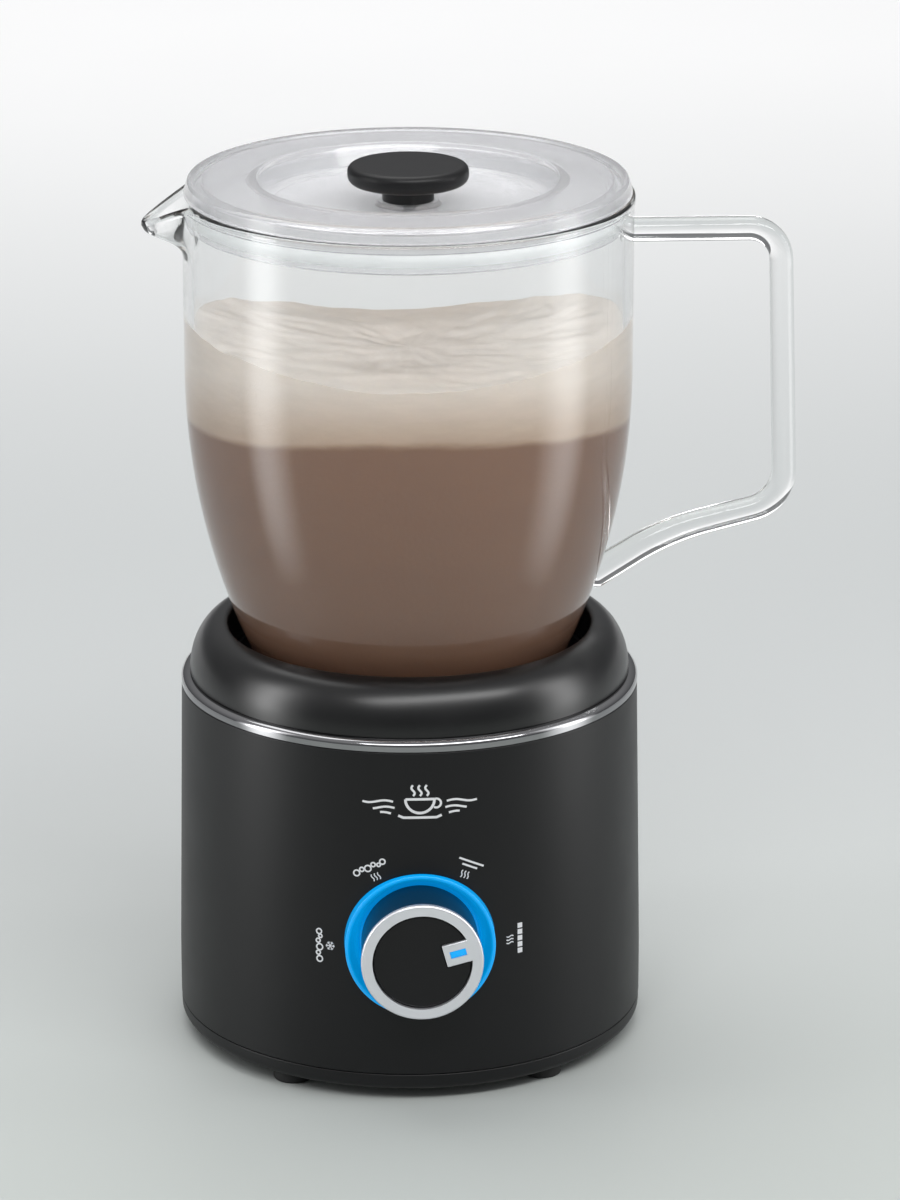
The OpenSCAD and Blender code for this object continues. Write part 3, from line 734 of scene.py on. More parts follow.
@dataclass
class BaseShell:
    """The base's outer shells: cover with feet, housing, chrome ring and collar."""

    foot_r: float = 66.5
    top_r: float = 65.0
    seam_z: float = 8.4
    under_z: float = 3.6
    waist_z: float = 24.0
    top_z: float = 103.4
    wall: float = 2.6
    dial_z: float = 47.3
    dial_hole_r: float = 21.0
    ring_top: float = 106.8
    lip_z: float = 121.3
    opening_r: float = 51.5
    foot_at: Point = (35.1, 46.0)
    pad_r: float = 5.7
    inlet_low: Place = (-9, 50, 13.5)
    inlet_high: Place = (9, 80, 26.5)
    rib_r: float = 63.4
    rib_z: float = 12.0
    tray_z: float = 6.2
    vents: int = 6
    vent_pitch: float = 8.0

    def build(self) -> None:
        """Builds and dresses the shells."""
        self.housing()
        self.cover()
        self.feet()
        self.ring()
        self.collar()

    def housing(self) -> None:
        """Builds the tapered shell with its round dial hole and its inlet hole."""
        top_in = self.top_r - self.wall
        foot_in = self.foot_r - self.wall - 0.2
        outer = rounded([
            (foot_in, self.seam_z + 0.2, 0), (self.foot_r, self.seam_z + 0.2, 0.35),
            (self.foot_r, self.waist_z, 500), (self.top_r, self.top_z, 0.3), (top_in, self.top_z, 0.2),
            (foot_in, self.waist_z, 0), (foot_in, self.seam_z + 2, 0)])
        shell = revolve(refined(outer, 4.0), steps=192)
        hole = revolve([(0, 40), (self.dial_hole_r, 40), (self.dial_hole_r, 80), (0, 80)], Axis.DIAL,
                       96, (0, 0, self.dial_z))
        combine(shell, hole, Cut.AWAY)
        combine(shell, block(self.inlet_low, self.inlet_high), Cut.AWAY)
        present(shell, "housing_shell", SATIN_BLACK, Body.BASE, "satin_black", "housing")

    def cover(self) -> None:
        """Builds the bottom tray with its rolled edge and its row of vents."""
        out = self.foot_r - 0.1
        tray = revolve(rounded([
            (0, self.under_z, 0), (out, self.under_z, 3.0), (out, self.seam_z, 0.35),
            (self.rib_r, self.seam_z, 0), (self.rib_r, self.rib_z, 0.2),
            (self.rib_r - 1.6, self.rib_z, 0.2), (self.rib_r - 1.6, self.tray_z, 0.5),
            (0, self.tray_z, 0)]))
        vents = block((-21.5, -16, 2), (-18.5, 16, 8), 1.2)
        modify(vents, "ARRAY", count=self.vents, use_relative_offset=False, use_constant_offset=True,
               constant_offset_displace=(self.vent_pitch * MM, 0, 0))
        combine(tray, vents, Cut.AWAY)
        present(tray, "base_tray", SATIN_BLACK, Body.BASE, "satin_black", "base_cover")

    def feet(self) -> None:
        """Builds one foot and copies it to the four corners."""
        pad = revolve(rounded([(0, 0, 0), (3.6, 0, 0.3), (3.9, 0.5, 0.3), (4.4, 0, 0.4),
                               (self.pad_r, 0, 0.9), (self.pad_r, 5, 0.2), (0, 5, 0)]), steps=48)
        pads = []
        for sx, sy in ((-1, -1), (1, -1), (1, 1), (-1, 1)):
            foot = pad.copy()
            foot.data = pad.data.copy()
            bpy.context.collection.objects.link(foot)
            corner = Vector((sx * self.foot_at[0], sy * self.foot_at[1], 0))
            settle(foot, Matrix.Translation(corner * MM))
            pads.append(foot)
        bpy.data.objects.remove(pad)
        present(join(pads), "rubber_feet", RUBBER, Body.BASE, "rubber_black", "feet")

    def ring(self) -> None:
        """Builds the bright trim ring."""
        inner = self.top_r - self.wall
        out = self.top_r + 0.05
        outline = [(inner, self.top_z), (out - 0.3, self.top_z), (out, self.top_z + 0.3)]
        crown = self.top_z + 1.6
        outline += dome(inner + 0.3, crown, out - inner - 0.3, self.ring_top - crown)
        outline.append((inner, self.ring_top))
        present(revolve(outline, steps=192), "trim_ring", CHROME, Body.BASE, "chrome", "chrome_ring")

    def collar(self) -> None:
        """Builds the domed collar with its rolled lip."""
        start = self.ring_top + 0.1
        lip = 1.5
        rim = self.opening_r + lip
        outline = [(60.2, 96.0), (62.2, 96.0), (62.2, start)]
        outline += dome(rim, start, 62.6 - rim, self.lip_z - start, 40)
        outline += arc(rim, self.lip_z - lip, lip, 96, 180, 8)
        outline += [(self.opening_r, 112.0), (self.opening_r, 110.0), (self.opening_r + 2.2, 110.0)]
        outline += dome(53.7, start, 6.5, self.lip_z - start - 3)[::-1]
        present(revolve(outline, steps=192), "domed_collar", POLISHED_BLACK, Body.BASE, "satin_black",
                "top_collar")


@dataclass
class PowerInlet:
    """The mains inlet at the back: a framed socket for a two-pin lead."""

    z: float = 20.0
    frame_half: Point = (8.9, 6.4)
    face_y: float = 66.2
    bore_r: float = 4.0
    pin_at: float = 3.3

    def build(self) -> None:
        """Builds and dresses the socket."""
        half_x, half_z = self.frame_half
        body = block((-half_x, 47, self.z - half_z), (half_x, self.face_y, self.z + half_z), 0.7)
        flange = block((-12, 57.6, self.z - 8.4), (12, 59.6, self.z + 8.4), 0.4)
        combine(body, flange, Cut.JOIN)
        well = block((-self.pin_at, 54, self.z - 3.4), (self.pin_at, 80, self.z + 3.4))
        for side in (-1, 1):
            bore = revolve([(0, -80), (self.bore_r, -80), (self.bore_r, -54), (0, -54)], Axis.DIAL, 48,
                           (side * self.pin_at, 0, self.z))
            combine(well, bore, Cut.JOIN)
        combine(body, well, Cut.AWAY)
        present(body, "inlet_socket", SATIN_BLACK, Body.BASE, "satin_black", "power_inlet")


@dataclass
class DialPanel:
    """The dial: blue bezel, satin ring with its pointer, window and start button."""

    z: float = 47.3
    bezel_r: float = 20.9
    bezel_front: float = 67.2
    bezel_floor: float = 60.0
    ring_r: float = 16.9
    front: float = 79.25
    cup_r: float = 13.8
    ring_t: float = 1.6
    tab_w: float = 6.4
    pointer_angle: float = 75.0

    def spun(self, corners: list[Corner], steps: int = 128) -> bpy.types.Object:
        """Spins rounded corners about the dial's axis."""
        return revolve(rounded(corners), Axis.DIAL, steps, (0, 0, self.z))

    def turned(self, piece: bpy.types.Object) -> bpy.types.Object:
        """Turns a piece that points up, built in front of the jug's axis, to the pointer's angle."""
        turn = Matrix.Rotation(math.radians(self.pointer_angle), 4, "Y")
        settle(piece, Matrix.Translation((0, 0, self.z * MM)) @ turn)
        return piece

    def build(self) -> None:
        """Builds and dresses the dial."""
        self.bezel()
        self.knob()
        self.button()

    def bezel(self) -> None:
        """Builds the blue dish around the dial."""
        r = self.bezel_r
        front, floor = self.bezel_front, self.bezel_floor
        dish = self.spun([
            (3.8, 58.4, 0), (3.8, floor, 0.2), (self.ring_r + 0.2, floor, 0.6),
            (self.ring_r + 0.5, 62.6, 0.3), (18.2, 63.0, 0.3), (19.4, 66.0, 0.5),
            (19.7, front - 0.25, 0.25), (20.1, front, 0.2), (r, front, 0.35), (r, 57, 0.1),
            (r + 2.5, 57, 0.2), (r + 2.5, 55.4, 0.2), (18, 55.4, 0.2), (18, 58.4, 0.2),
            (10, 58.4, 0)], 160)
        present(dish, "blue_bezel_dish", BLUE, Body.BASE, "blue_plastic", "blue_bezel")

    def knob(self) -> None:
        """Builds the black cup, the bright ring on its edge, the pointer tab and the tab's window."""
        r, cup, front = self.ring_r, self.cup_r, self.front
        edge = front - self.ring_t
        # Painted shade: the cup is black so that the knob's side, which lies in shade, reads dark.
        skirt = self.spun([
            (3.52, 64, 0), (5.4, 64, 0.2), (5.4, 69.8, 0.3), (cup - 0.4, 69.8, 0.4), (cup - 0.4, 61.6, 0.3),
            (r - 0.7, 61.6, 0.4), (r - 0.15, edge, 0.1), (cup, edge, 0.1), (cup, 71.6, 0.3),
            (3.52, 71.6, 0)])
        present(skirt, "dial_cup", POLISHED_BLACK, Body.DIAL, "satin_black")
        ring = self.spun([(cup, edge, 0.1), (r, edge, 0.15), (r, front, 0.7), (cup, front, 0.35)])
        tab = block((-self.tab_w / 2, -front, 6.3), (self.tab_w / 2, -edge, cup + 0.5), 0.3)
        slot = block((-1.05, -front - 1, 7.9), (1.05, -front + 3, 12.5), 0.2)
        combine(tab, slot, Cut.AWAY)
        combine(ring, self.turned(tab), Cut.JOIN)
        present(ring, "dial_ring", SATIN_CHROME, Body.DIAL, "chrome", "dial_knob")
        pane = block((-1.0, -front + 0.1, 7.95), (1.0, -front + 3.4, 12.45), 0.25)
        present(self.turned(pane), "pointer_pane", BLUE, Body.DIAL, "blue_plastic", "pointer_window")

    def button(self) -> None:
        """Builds the black middle, which presses in, with its notch for the pointer."""
        face = self.front - 0.75
        r = self.cup_r - 0.25
        disc = self.spun([(0, 46.2, 0), (1.62, 46.2, 0.2), (1.62, 74.6, 0.1), (r, 74.6, 0.2),
                          (r, face, 0.6), (r * 0.5, face + 0.04, 30), (0, face + 0.05, 0)])
        half = self.tab_w / 2 + 0.25
        notch = block((-half, -82, 6), (half, -72, 26), 0.3)
        combine(disc, self.turned(notch), Cut.AWAY)
        present(disc, "start_button_disc", SATIN_BLACK, Body.BUTTON, "satin_black", "start_button")


@dataclass
class FrontMarks:
    """Silver marks printed on the housing: an emblem, and a sign for each setting of the dial."""

    foot_r: float = 66.5
    waist_z: float = 24.0
    slope: float = 1.5 / 79.4
    proud: float = 0.05
    depth: float = 0.3
    strokes: list[bpy.types.Object] = field(default_factory=list)
    marks: list[bpy.types.Object] = field(default_factory=list)

    def stroke(self, points: list[Point], width: float) -> None:
        """Draws one line of ink.

        Args:
            points: Its middle line in millimetres, across and up.
            width: Its width in millimetres.
        """
        piece = chain([(x, -self.proud, z) for x, z in refined(points, 1.2)])
        with editing(piece):
            bpy.ops.mesh.remove_doubles(threshold=WELD)
            bpy.ops.mesh.extrude_edges_move(TRANSFORM_OT_translate={"value": (0, self.depth * MM, 0)})
        modify(piece, "SOLIDIFY", thickness=width * MM, offset=0.0, use_even_offset=True)
        self.strokes.append(piece)

    def place(self, angle: float, z: float, roll: float) -> None:
        """Turns the drawn lines, wraps them around the housing and puts them at their place.

        Args:
            angle: Degrees to the right of the front.
            z: Height in millimetres.
            roll: Degrees clockwise.
        """
        mark = join(self.strokes)
        self.strokes = []
        settle(mark, Matrix.Rotation(math.radians(roll), 4, "Y"))
        radius = (self.foot_r - (z - self.waist_z) * self.slope) * MM
        across = [v.co.x for v in mark.data.vertices]
        modify(mark, "SIMPLE_DEFORM", deform_method="BEND", deform_axis="Z",
               angle=(max(across) - min(across)) / radius)
        settle(mark, Matrix.Translation((0, 0, z * MM))
               @ Matrix.Rotation(math.radians(angle), 4, "Z")
               @ Matrix.Translation((0, -radius, 0))
               @ Matrix.Rotation(-math.atan(self.slope), 4, "X"))
        self.marks.append(mark)

    def wave(self, foot: Point, swing: float, height: float, width: float, steps: int) -> None:
        """Draws one rising wave.

        Args:
            foot: Where it starts, across and up.
            swing: How far it sways to each side.
            height: Its height.
            width: Width of its line.
            steps: Number of segments.
        """
        shares = [i / steps for i in range(steps + 1)]
        line = [(foot[0] + swing * math.sin(t * math.tau), foot[1] + t * height) for t in shares]
        self.stroke(line, width)

    def steam(self) -> None:
        """Draws three rising waves, the sign for heat."""
        for x in (-0.95, 0.0, 0.95):
            self.wave((x, -1.05), 0.2, 2.1, 0.3, 12)

    def snowflake(self) -> None:
        """Draws a six-armed snowflake, the sign for cold."""
        for i in range(6):
            a = math.radians(60 * i + 30)
            tip = (1.3 * math.cos(a), 1.3 * math.sin(a))
            fork = (0.8 * math.cos(a), 0.8 * math.sin(a))
            self.stroke([(0, 0), tip], 0.26)
            for turn in (-50, 50):
                b = a + math.radians(turn)
                self.stroke([fork, (fork[0] + 0.5 * math.cos(b), fork[1] + 0.5 * math.sin(b))], 0.22)

    def bubbles(self) -> None:
        """Draws a row of bubbles, the sign for froth."""
        for x, z, r in ((-4.0, -0.1, 0.85), (-2.2, 0.3, 0.6), (-0.5, -0.1, 0.9), (1.35, 0.35, 0.6),
                        (2.75, -0.3, 0.5), (4.1, 0.1, 0.75)):
            self.stroke(arc(x, z, r, 0, 360, 20), 0.42)

    def flat(self) -> None:
        """Draws two level lines, the sign for heating without froth."""
        self.stroke([(-3.8, 0.75), (3.8, 0.75)], 0.55)
        self.stroke([(-2.3, -0.55), (2.3, -0.55)], 0.55)

    def bar(self) -> None:
        """Draws a bar of chocolate in squares."""
        for i in range(5):
            x = -3.7 + 1.85 * i
            self.stroke([(x - 0.72, 0), (x + 0.72, 0)], 1.45)

    def emblem(self) -> None:
        """Draws a cup on its saucer under three waves of steam, with three lines at each side."""
        self.stroke([(-4.0, 1.6), (4.0, 1.6)], 0.7)
        self.stroke(arc(0, 1.6, 4.0, 180, 360, 24), 0.75)
        self.stroke(arc(4.5, 0.4, 1.3, 110, -120, 12), 0.6)
        self.stroke([(-6.0, -3.1), (-4.6, -3.7), (4.6, -3.7), (6.0, -3.1)], 0.7)
        for x in (-1.9, 0.0, 1.9):
            self.wave((x, 2.6), 0.45, 3.08, 0.6, 14)
        for side in (-1, 1):
            for z, start, count in ((0.9, 7.4, 18), (-0.9, 7.0, 13), (-2.5, 8.0, 7)):
                line = [(side * (start + t * 0.5), z + 0.35 * math.sin(t * math.pi / 9))
                        for t in range(count)]
                self.stroke(line, 0.6)

    def build(self) -> None:
        """Draws, places and dresses all the marks."""
        for draw, angle, z, roll in (
                (self.emblem, 0.0, 88.5, 0), (self.snowflake, -22.1, 45.7, -90),
                (self.bubbles, -24.9, 45.5, -90), (self.steam, -10.7, 67.3, -22),
                (self.bubbles, -12.3, 69.9, -26), (self.steam, 10.9, 67.5, 22),
                (self.flat, 12.3, 70.3, 24), (self.steam, 22.4, 46.5, 90), (self.bar, 25.1, 46.5, 90)):
            draw()
            self.place(angle, z, roll)
        present(join(self.marks), "printed_marks", PRINT, Body.BASE, "chrome")


@dataclass
class Jug:
    """The clear jug with its spout and its handle in one moulding, and its steel foot."""

    r: float = 62.8
    wall: float = 2.8
    rim_z: float = 245.5
    bend_z: float = 195.0
    bend_r: float = 195.0
    foot_z: float = 106.0
    well_z: float = 92.0
    spout_out: float = 11.0
    spout_dip: float = 7.0
    spout_half: float = 16.0
    plain_z: float = 226.0
    fine_step: float = 1.2
    handle_w: float = 7.0
    handle_t: float = 6.6
    handle_top: float = 233.9
    corner_x: float = 95.3
    corner_r: float = 9.0
    lean: float = 1.8
    low_r: float = 12.0
    low_z: float = 164.0
    arm_angle: float = 76.0
    arm_len: float = 13.5
    sweep_r: float = 75.0
    sweep_angle: float = 18.0

    def wall_r(self, z: float, inset: float = 0.0) -> float:
        """Gives the wall's radius at a height, for a surface set in by some millimetres."""
        if z >= self.bend_z:
            return self.r - inset
        return self.r - self.bend_r + math.sqrt((self.bend_r - inset) ** 2 - (self.bend_z - z) ** 2)

    def side(self, low: float, high: float, inset: float = 0.0, step: float = 2.5) -> list[Point]:
        """Gives the wall's outline between two heights, from low to high."""
        count = max(1, math.ceil((high - low) / step))
        heights = [low + (high - low) * i / count for i in range(count + 1)]
        return [(self.wall_r(z, inset), z) for z in heights]

    def bulge(self, point: Vector) -> float:
        """Gives how much of the spout's width reaches a point."""
        if point.x > 0 or abs(point.y) >= self.spout_half:
            return 0.0
        return math.cos(math.pi * point.y / (2 * self.spout_half)) ** 1.5

    def build(self) -> None:
        """Builds and dresses the jug."""
        body = self.shell()
        combine(body, self.handle(), Cut.JOIN)
        present(body, "clear_jug", CLEAR, Body.JUG, "clear_plastic", "jug_body", "jug_handle")
        self.foot()

    def shell(self) -> bpy.types.Object:
        """Builds the wall with its rounded rim, and draws the spout out of it."""
        inner = self.r - self.wall
        fine = self.fine_step
        outline = self.side(self.foot_z, self.plain_z)
        outline += self.side(self.plain_z + fine, self.rim_z - 2.6, step=fine)
        outline += rounded([(self.r, self.rim_z - 2.4, 0), (self.r + 0.3, self.rim_z - 1.9, 0.4),
                            (self.r + 0.3, self.rim_z, 1.3), (inner, self.rim_z, 1.2),
                            (inner, self.rim_z - 4, 0)])
        outline += self.side(self.plain_z + fine, self.rim_z - 5, self.wall, fine)[::-1]
        outline += self.side(self.foot_z, self.plain_z, self.wall)[::-1]
        shell = revolve(outline, steps=240)
        push(shell, "X", -self.spout_out, lambda p: self.bulge(p) * ease(p.z, 229, 243.5))
        push(shell, "Z", -self.spout_dip, lambda p: self.bulge(p) * ease(p.z, 228, self.rim_z))
        return shell

    def handle_line(self) -> list[Place]:
        """Gives the handle's middle line: across, up and thickness of each point."""
        line = [(self.r - 6, self.handle_top, self.handle_t)]
        corner = arc(self.corner_x, self.handle_top - self.corner_r, self.corner_r, 90, self.lean, 14)
        line += [(x, z, self.handle_t) for x, z in corner]
        lean = math.radians(self.lean)
        grip_x = self.corner_x + self.corner_r * math.cos(lean)
        grip_z = self.handle_top - self.corner_r + self.corner_r * math.sin(lean)
        low_cx = grip_x + (grip_z - self.low_z) * math.tan(lean) - self.low_r * math.cos(lean)
        low_cz = self.low_z - self.low_r * math.sin(lean)
        elbow = arc(low_cx, low_cz, self.low_r, self.lean, -self.arm_angle, 16)
        line += [(x, z, self.handle_t + 0.2) for x, z in elbow]
        arm = math.radians(self.arm_angle)
        arm_x, arm_z = elbow[-1]
        centre_x = arm_x - self.arm_len * math.sin(arm) + self.sweep_r * math.cos(arm)
        centre_z = arm_z - self.arm_len * math.cos(arm) - self.sweep_r * math.sin(arm)
        start = 180 - self.arm_angle
        sweep = arc(centre_x, centre_z, self.sweep_r, start, start + self.sweep_angle, 12)
        line += [(x, z, self.handle_t + 0.4 + 0.05 * i) for i, (x, z) in enumerate(sweep)]
        end = math.radians(start + self.sweep_angle)
        last_x, last_z = sweep[-1]
        line.append((last_x - 14 * math.sin(end), last_z + 14 * math.cos(end), self.handle_t + 1.6))
        return line

    def handle(self) -> bpy.types.Object:
        """Builds the handle as a rounded bar that ends inside the wall."""
        line = self.handle_line()
        left: list[Point] = []
        right: list[Point] = []
        for i, (x, z, thick) in enumerate(line):
            before, after = line[max(i - 1, 0)], line[min(i + 1, len(line) - 1)]
            across = math.atan2(after[1] - before[1], after[0] - before[0]) + math.pi / 2
            dx, dz = math.cos(across) * thick / 2, math.sin(across) * thick / 2
            left.append((x + dx, z + dz))
            right.append((x - dx, z - dz))
        bar = prism(left + right[::-1], self.handle_w, 2.7)
        inside = self.side(100, self.rim_z + 2, self.wall / 2, 4)
        combine(bar, revolve([(0, 100)] + inside + [(0, self.rim_z + 2)]), Cut.AWAY)
        return bar

    def foot(self) -> None:
        """Builds the drawn steel cup at the jug's foot."""
        out = self.wall_r(self.foot_z)
        low, top = self.well_z, self.foot_z - 1.4
        cup = revolve(rounded([
            (0, low + 0.8, 0), (34.6, low + 0.8, 1), (35.6, low, 0.6), (out, low, 2.7), (out, top, 0.3),
            (37.6, top, 0.1), (37.6, top - 0.8, 0.1), (out - 0.8, top - 0.8, 0.3),
            (out - 0.8, low + 1.6, 2), (0, low + 1.6, 0)]))
        present(cup, "steel_jug_foot", STEEL, Body.JUG, "steel", "jug_foot")


@dataclass
class Drink:
    """Chocolate milk under a head of froth, which fills the jug as in use."""

    jug: Jug
    floor_z: float = 94.2
    split_z: float = 178.0
    side_z: float = 210.0
    front_z: float = 203.5
    back_z: float = 195.5
    middle_z: float = 200.0
    into_wall: float = 0.4
    floor_r: float = 39.8

    def top(self, point: Vector) -> float:
        """Gives the height of the froth at a point."""
        across, along = point.x / 60, point.y / 60
        ends = self.front_z if along < 0 else self.back_z
        return (self.middle_z + (self.side_z - self.middle_z) * across ** 2
                + (ends - self.middle_z) * along ** 2)

    def build(self) -> None:
        """Builds and dresses the drink."""
        inset = self.jug.wall - self.into_wall
        edge = self.floor_r
        low = [(0, self.floor_z), (30, self.floor_z), (edge - 0.3, self.floor_z + 3), (edge, 107)]
        wall = self.jug.side(107.2, self.split_z, inset, 3)
        milk = revolve(low + wall + [(0, self.split_z)], steps=128)
        present(milk, "chocolate_milk", DRINK, Body.JUG, "ivory_plastic")
        lift = self.side_z + 4
        side = self.jug.side(self.split_z, lift, inset, 2)
        cap = [(r * side[-1][0] / 24, lift) for r in range(23, -1, -1)]
        froth = revolve([(0, self.split_z)] + side + cap, steps=160)
        drop = lift - min(self.back_z, self.middle_z) + 4
        reach = self.split_z + 6
        push(froth, "Z", -drop, lambda p: (lift - self.top(p)) / drop
             * min(1.0, max(0.0, (p.z - reach) / (lift - reach))))
        for size, height in ((15.0, 1.6), (5.0, 0.5)):
            lumps = bpy.data.textures.new("froth_lumps", "CLOUDS")
            lumps.noise_scale = size * MM
            lumps.noise_depth = 2
            push(froth, "Z", height, lambda p: ease(p.z, 192, 199), texture=lumps)
        present(froth, "milk_froth", DRINK, Body.JUG, "ivory_plastic")


@dataclass
class Whisk:
    """The frothing whisk's wire coil, wound around its disc."""

    ring_r: float = 22.0
    coil_r: float = 1.5
    wire_r: float = 0.3
    z: float = 100.3
    turns: int = 64
    steps: int = 10

    def build(self) -> None:
        """Builds and dresses the coil."""
        count = self.turns * self.steps
        curve = bpy.data.curves.new("whisk_wire", "CURVE")
        curve.dimensions = "3D"
        curve.bevel_depth = self.wire_r * MM
        curve.bevel_resolution = 1
        spline = curve.splines.new("POLY")
        spline.points.add(count - 1)
        spline.use_cyclic_u = True
        for i, point in enumerate(spline.points):
            around = math.tau * i / count
            wind = math.tau * i / self.steps
            r = self.ring_r + self.coil_r * math.cos(wind)
            height = self.z + self.coil_r * math.sin(wind)
            place = Vector((r * math.cos(around), r * math.sin(around), height))
            point.co = (*(place * MM), 1.0)
        coil = bpy.data.objects.new("whisk_wire", curve)
        bpy.context.collection.objects.link(coil)
        select_only(coil)
        bpy.ops.object.convert(target="MESH")
        present(bpy.context.active_object, "whisk_wire_coil", CHROME, Body.WHISK, "chrome", "whisk_coil")


@dataclass
class Lid:
    """The lid: a dished plate with a skirt, and a black knob."""

    rim_r: float = 62.4
    rim_z: float = 245.55
    top_z: float = 249.9
    dish_r: float = 42.2
    dish_z: float = 243.2
    skirt_r: float = 59.4
    skirt_z: float = 237.0
    knob_r: float = 16.9
    knob_z: float = 253.3
    neck_r: float = 7.2

    def build(self) -> None:
        """Builds and dresses the lid."""
        dish, skirt = self.dish_r, self.skirt_r
        plate = revolve(rounded([
            (2.1, 240.2, 0), (dish - 3.6, 241.2, 1.5), (dish - 1.3, 242.2, 1.5),
            (dish + 2.2, self.top_z - 2.2, 1.2), (skirt - 2, self.top_z - 2.2, 0.8),
            (skirt - 2, self.skirt_z, 0.5), (skirt, self.skirt_z, 0.5), (skirt, self.rim_z, 0.3),
            (self.rim_r, self.rim_z, 0.4), (self.rim_r - 1.2, self.top_z, 1.3),
            (dish, self.top_z, 1.2), (dish - 3, self.dish_z + 0.8, 1.5), (dish - 4.6, self.dish_z, 1.5),
            (9.2, self.dish_z - 1, 0.5), (8.5, self.dish_z, 0.3), (2.1, self.dish_z, 0)]), steps=192)
        present(plate, "lid_dish", MILKY, Body.LID, "clear_plastic", "lid_plate")
        lips = [(skirt + 0.5 * abs(math.sin(math.pi * i / 16)), self.skirt_z + 2 + 0.25 * i)
                for i in range(17)]
        seal = revolve([(skirt - 0.05, lips[0][1]), *lips, (skirt - 0.05, lips[-1][1])], steps=128)
        present(seal, "lid_seal_ring", SILICONE, Body.LID, "white_silicone", "lid_seal")
        under = self.knob_z - 5.4
        knob = revolve(rounded([
            (0, self.dish_z, 0), (self.neck_r, self.dish_z, 0.2), (self.neck_r, under, 0.9),
            (self.knob_r, under, 2.7), (self.knob_r, self.knob_z, 1.9),
            (self.neck_r, self.knob_z + 0.08, 60), (0, self.knob_z + 0.1, 0)]), steps=128)
        present(knob, "lid_grip", SATIN_BLACK, Body.LID, "rubber_black", "lid_knob")


@dataclass
class ProbeSpring:
    """The coil spring under the temperature probe, which shortens as the probe sinks."""

    stroke: float = 1.5

    def build(self) -> None:
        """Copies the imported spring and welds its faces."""
        packed = frame["nodes"]["sensor_spring"]
        spring = bpy.data.objects.new("probe_spring", packed.data.copy())
        bpy.context.collection.objects.link(spring)
        spring.data.transform(packed.matrix_world)
        with editing(spring):
            bpy.ops.mesh.remove_doubles(threshold=WELD)
        present(spring, "probe_spring", STEEL, Body.BASE, "steel", "sensor_spring")
        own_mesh(spring)


@dataclass
class KeptNodes:
    """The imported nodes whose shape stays, which only get their finish."""

    def build(self) -> None:
        """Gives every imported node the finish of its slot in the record."""
        slots = {part["node"]: part["material_slot"] for part in frame["record"]["subparts"]
                 if "node" in part}
        for name, node in frame["nodes"].items():
            finish = SLOT_FINISHES[slots[name]]
            node.data.materials.clear()
            node.data.materials.append(finish.material())
        LOG.info("finishes on %d packed nodes", len(frame["nodes"]))


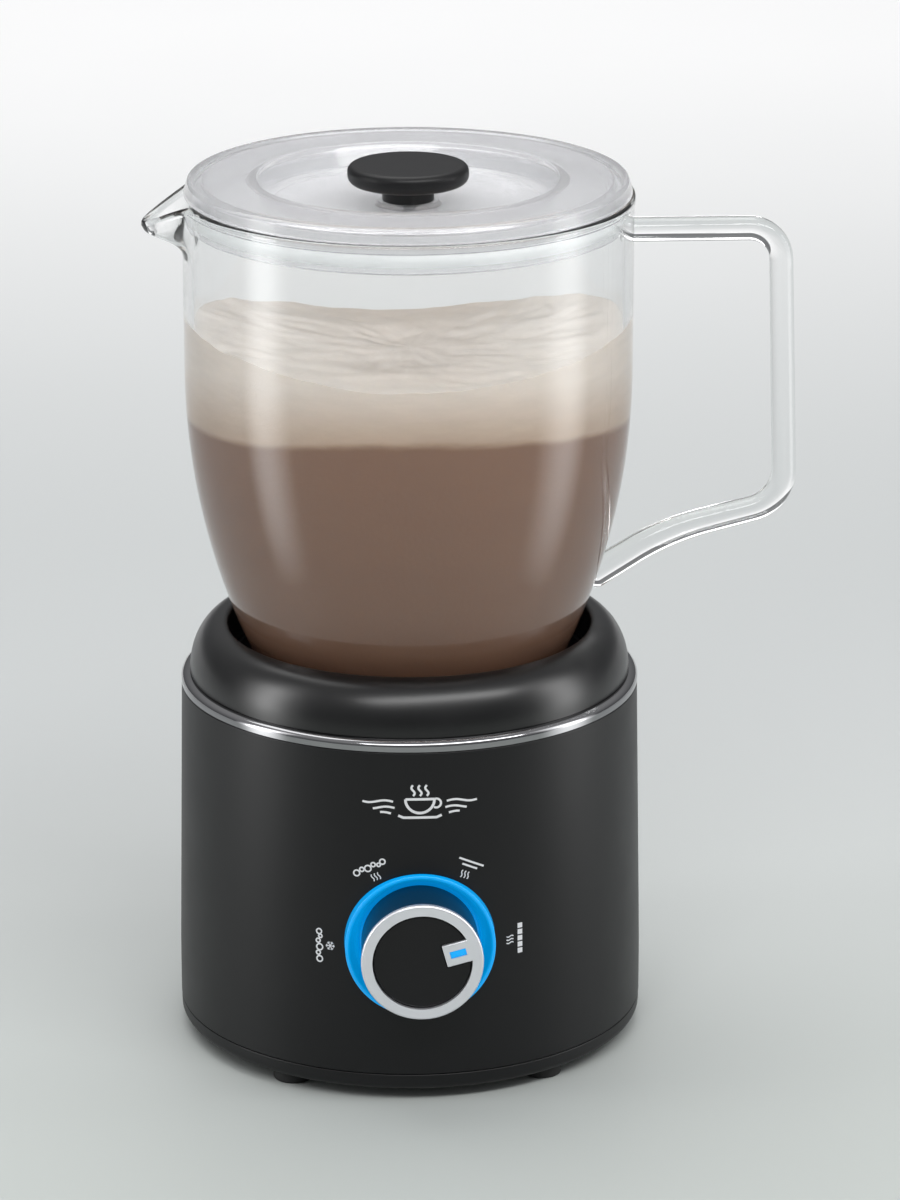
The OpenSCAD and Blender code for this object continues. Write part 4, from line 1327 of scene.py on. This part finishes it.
@dataclass
class Studio:
    """Floor, soft lights and camera, in metres and degrees."""

    camera_at: Place = (-0.0592, -1.3787, 0.5805)
    camera_turn: Place = (71.78, 0.0, -2.94)
    lens: float = 153.2
    floor_size: float = 14.0
    sky: float = 0.55
    horizon: str = "#9A9C9E"
    zenith: str = "#FAFAFB"

    def lamp(self, name: str, azimuth: float, reach: float, height: float, size: Point, power: float,
             aim: float = 0.15) -> bpy.types.Object:
        """Adds a rectangular soft light that faces the jug's axis.

        Args:
            name: Its name.
            azimuth: Degrees from the front, to the right.
            reach: Distance from the axis.
            height: Height of its middle.
            size: Width and height.
            power: Watts.
            aim: Height of the point it faces.

        Returns:
            The lamp.
        """
        angle = math.radians(azimuth)
        place = Vector((reach * math.sin(angle), -reach * math.cos(angle), height))
        bpy.ops.object.light_add(type="AREA", location=place)
        lamp = bpy.context.active_object
        lamp.name = name
        lamp.rotation_euler = (Vector((0, 0, aim)) - place).to_track_quat("-Z", "Y").to_euler()
        lamp.data.shape = "RECTANGLE"
        lamp.data.size, lamp.data.size_y = size
        lamp.data.energy = power
        return lamp

    def strip(self, name: str, azimuth: float, size: Point, power: float) -> None:
        """Adds an upright strip close by that only shows as a soft reflection on glossy walls.

        Args:
            name: Its name.
            azimuth: Degrees from the front, to the right.
            size: Width and height.
            power: Watts.
        """
        strip = self.lamp(name, azimuth, 0.21, size[1] / 2, size, power, size[1] / 2)
        strip.visible_diffuse = False
        strip.visible_transmission = False
        strip.data.use_nodes = True
        tree = strip.data.node_tree
        tree.nodes.clear()
        place = add(tree, "NewGeometry").outputs["Parametric"]
        parts = add(tree, "SeparateXYZ", {0: place})
        bells = []
        for way, sharp in (("X", 1.6), ("Y", 1.0)):
            turn = add(tree, "Math", {0: parts.outputs[way], 1: math.pi}, operation="MULTIPLY")
            bell = add(tree, "Math", {0: turn.outputs[0]}, operation="SINE")
            bells.append(add(tree, "Math", {0: bell.outputs[0], 1: sharp}, operation="POWER"))
        soft = add(tree, "Math", {0: bells[0].outputs[0], 1: bells[1].outputs[0]}, operation="MULTIPLY")
        glow = add(tree, "Emission", {"Strength": soft.outputs[0]})
        add(tree, "OutputLight", {"Surface": glow.outputs[0]})

    def build(self) -> None:
        """Builds the floor, the lights, the sky and the camera."""
        self.floor()
        self.lights()
        self.air()
        self.camera()

    def floor(self) -> None:
        """Lays the floor."""
        bpy.ops.object.select_all(action="DESELECT")
        bpy.ops.mesh.primitive_plane_add(size=self.floor_size)
        floor = bpy.context.active_object
        floor.name = "floor"
        floor.data.materials.append(FLOOR.material())

    def lights(self) -> None:
        """Places the soft lights and the two strips."""
        self.lamp("left_softbox", -80, 1.1, 0.35, (0.3, 0.7), 2.6)
        self.lamp("right_softbox", 84, 1.1, 0.35, (0.3, 0.7), 1.8)
        self.lamp("overhead_softbox", 200, 0.5, 1.5, (1.4, 1.0), 11, 0.1)
        self.lamp("front_softbox", 17, 0.85, 1.05, (1.7, 0.27), 12.5, 0.12)
        backdrop = self.lamp("backdrop_softbox", 180, 2.9, 1.3, (5.0, 1.4), 47)
        backdrop.rotation_euler = (0, 0, 0)
        backdrop.visible_glossy = False
        self.strip("left_strip", -70, (0.11, 0.3), 0.42)
        self.strip("right_strip", 73, (0.13, 0.3), 0.42)

    def air(self) -> None:
        """Fills the space around with a pale light that brightens upwards."""
        world = bpy.data.worlds.new("pale_sky")
        bpy.context.scene.world = world
        world.use_nodes = True
        tree = world.node_tree
        tree.nodes.clear()
        place = add(tree, "TexCoord").outputs["Generated"]
        parts = add(tree, "SeparateXYZ", {0: place})
        high = add(tree, "MapRange", {"Value": parts.outputs["Z"], "From Min": 0.05, "From Max": 0.75},
                   interpolation_type="SMOOTHSTEP")
        tones = add(tree, "Mix", {0: high.outputs[0], 6: linear(self.horizon), 7: linear(self.zenith)},
                    data_type="RGBA")
        light = add(tree, "Background", {"Color": tones.outputs[2], "Strength": self.sky})
        add(tree, "OutputWorld", {"Surface": light.outputs[0]})

    def camera(self) -> None:
        """Places the camera."""
        turn = [math.radians(a) for a in self.camera_turn]
        bpy.ops.object.camera_add(location=self.camera_at, rotation=turn)
        camera = bpy.context.active_object
        camera.data.lens = self.lens
        camera.data.clip_end = 60
        bpy.context.scene.camera = camera
        bpy.context.scene.view_settings.view_transform = "Standard"


def main() -> None:
    """Builds the whole frother in order."""
    logging.basicConfig(level=logging.INFO, format="%(name)s: %(message)s")
    jug = Jug()
    for part in (KeptNodes(), BaseShell(), PowerInlet(), DialPanel(), FrontMarks(), jug, Drink(jug),
                 Whisk(), Lid(), ProbeSpring(), Studio()):
        LOG.info("building %s", type(part).__name__)
        part.build()


if __name__ == "__main__":
    main()
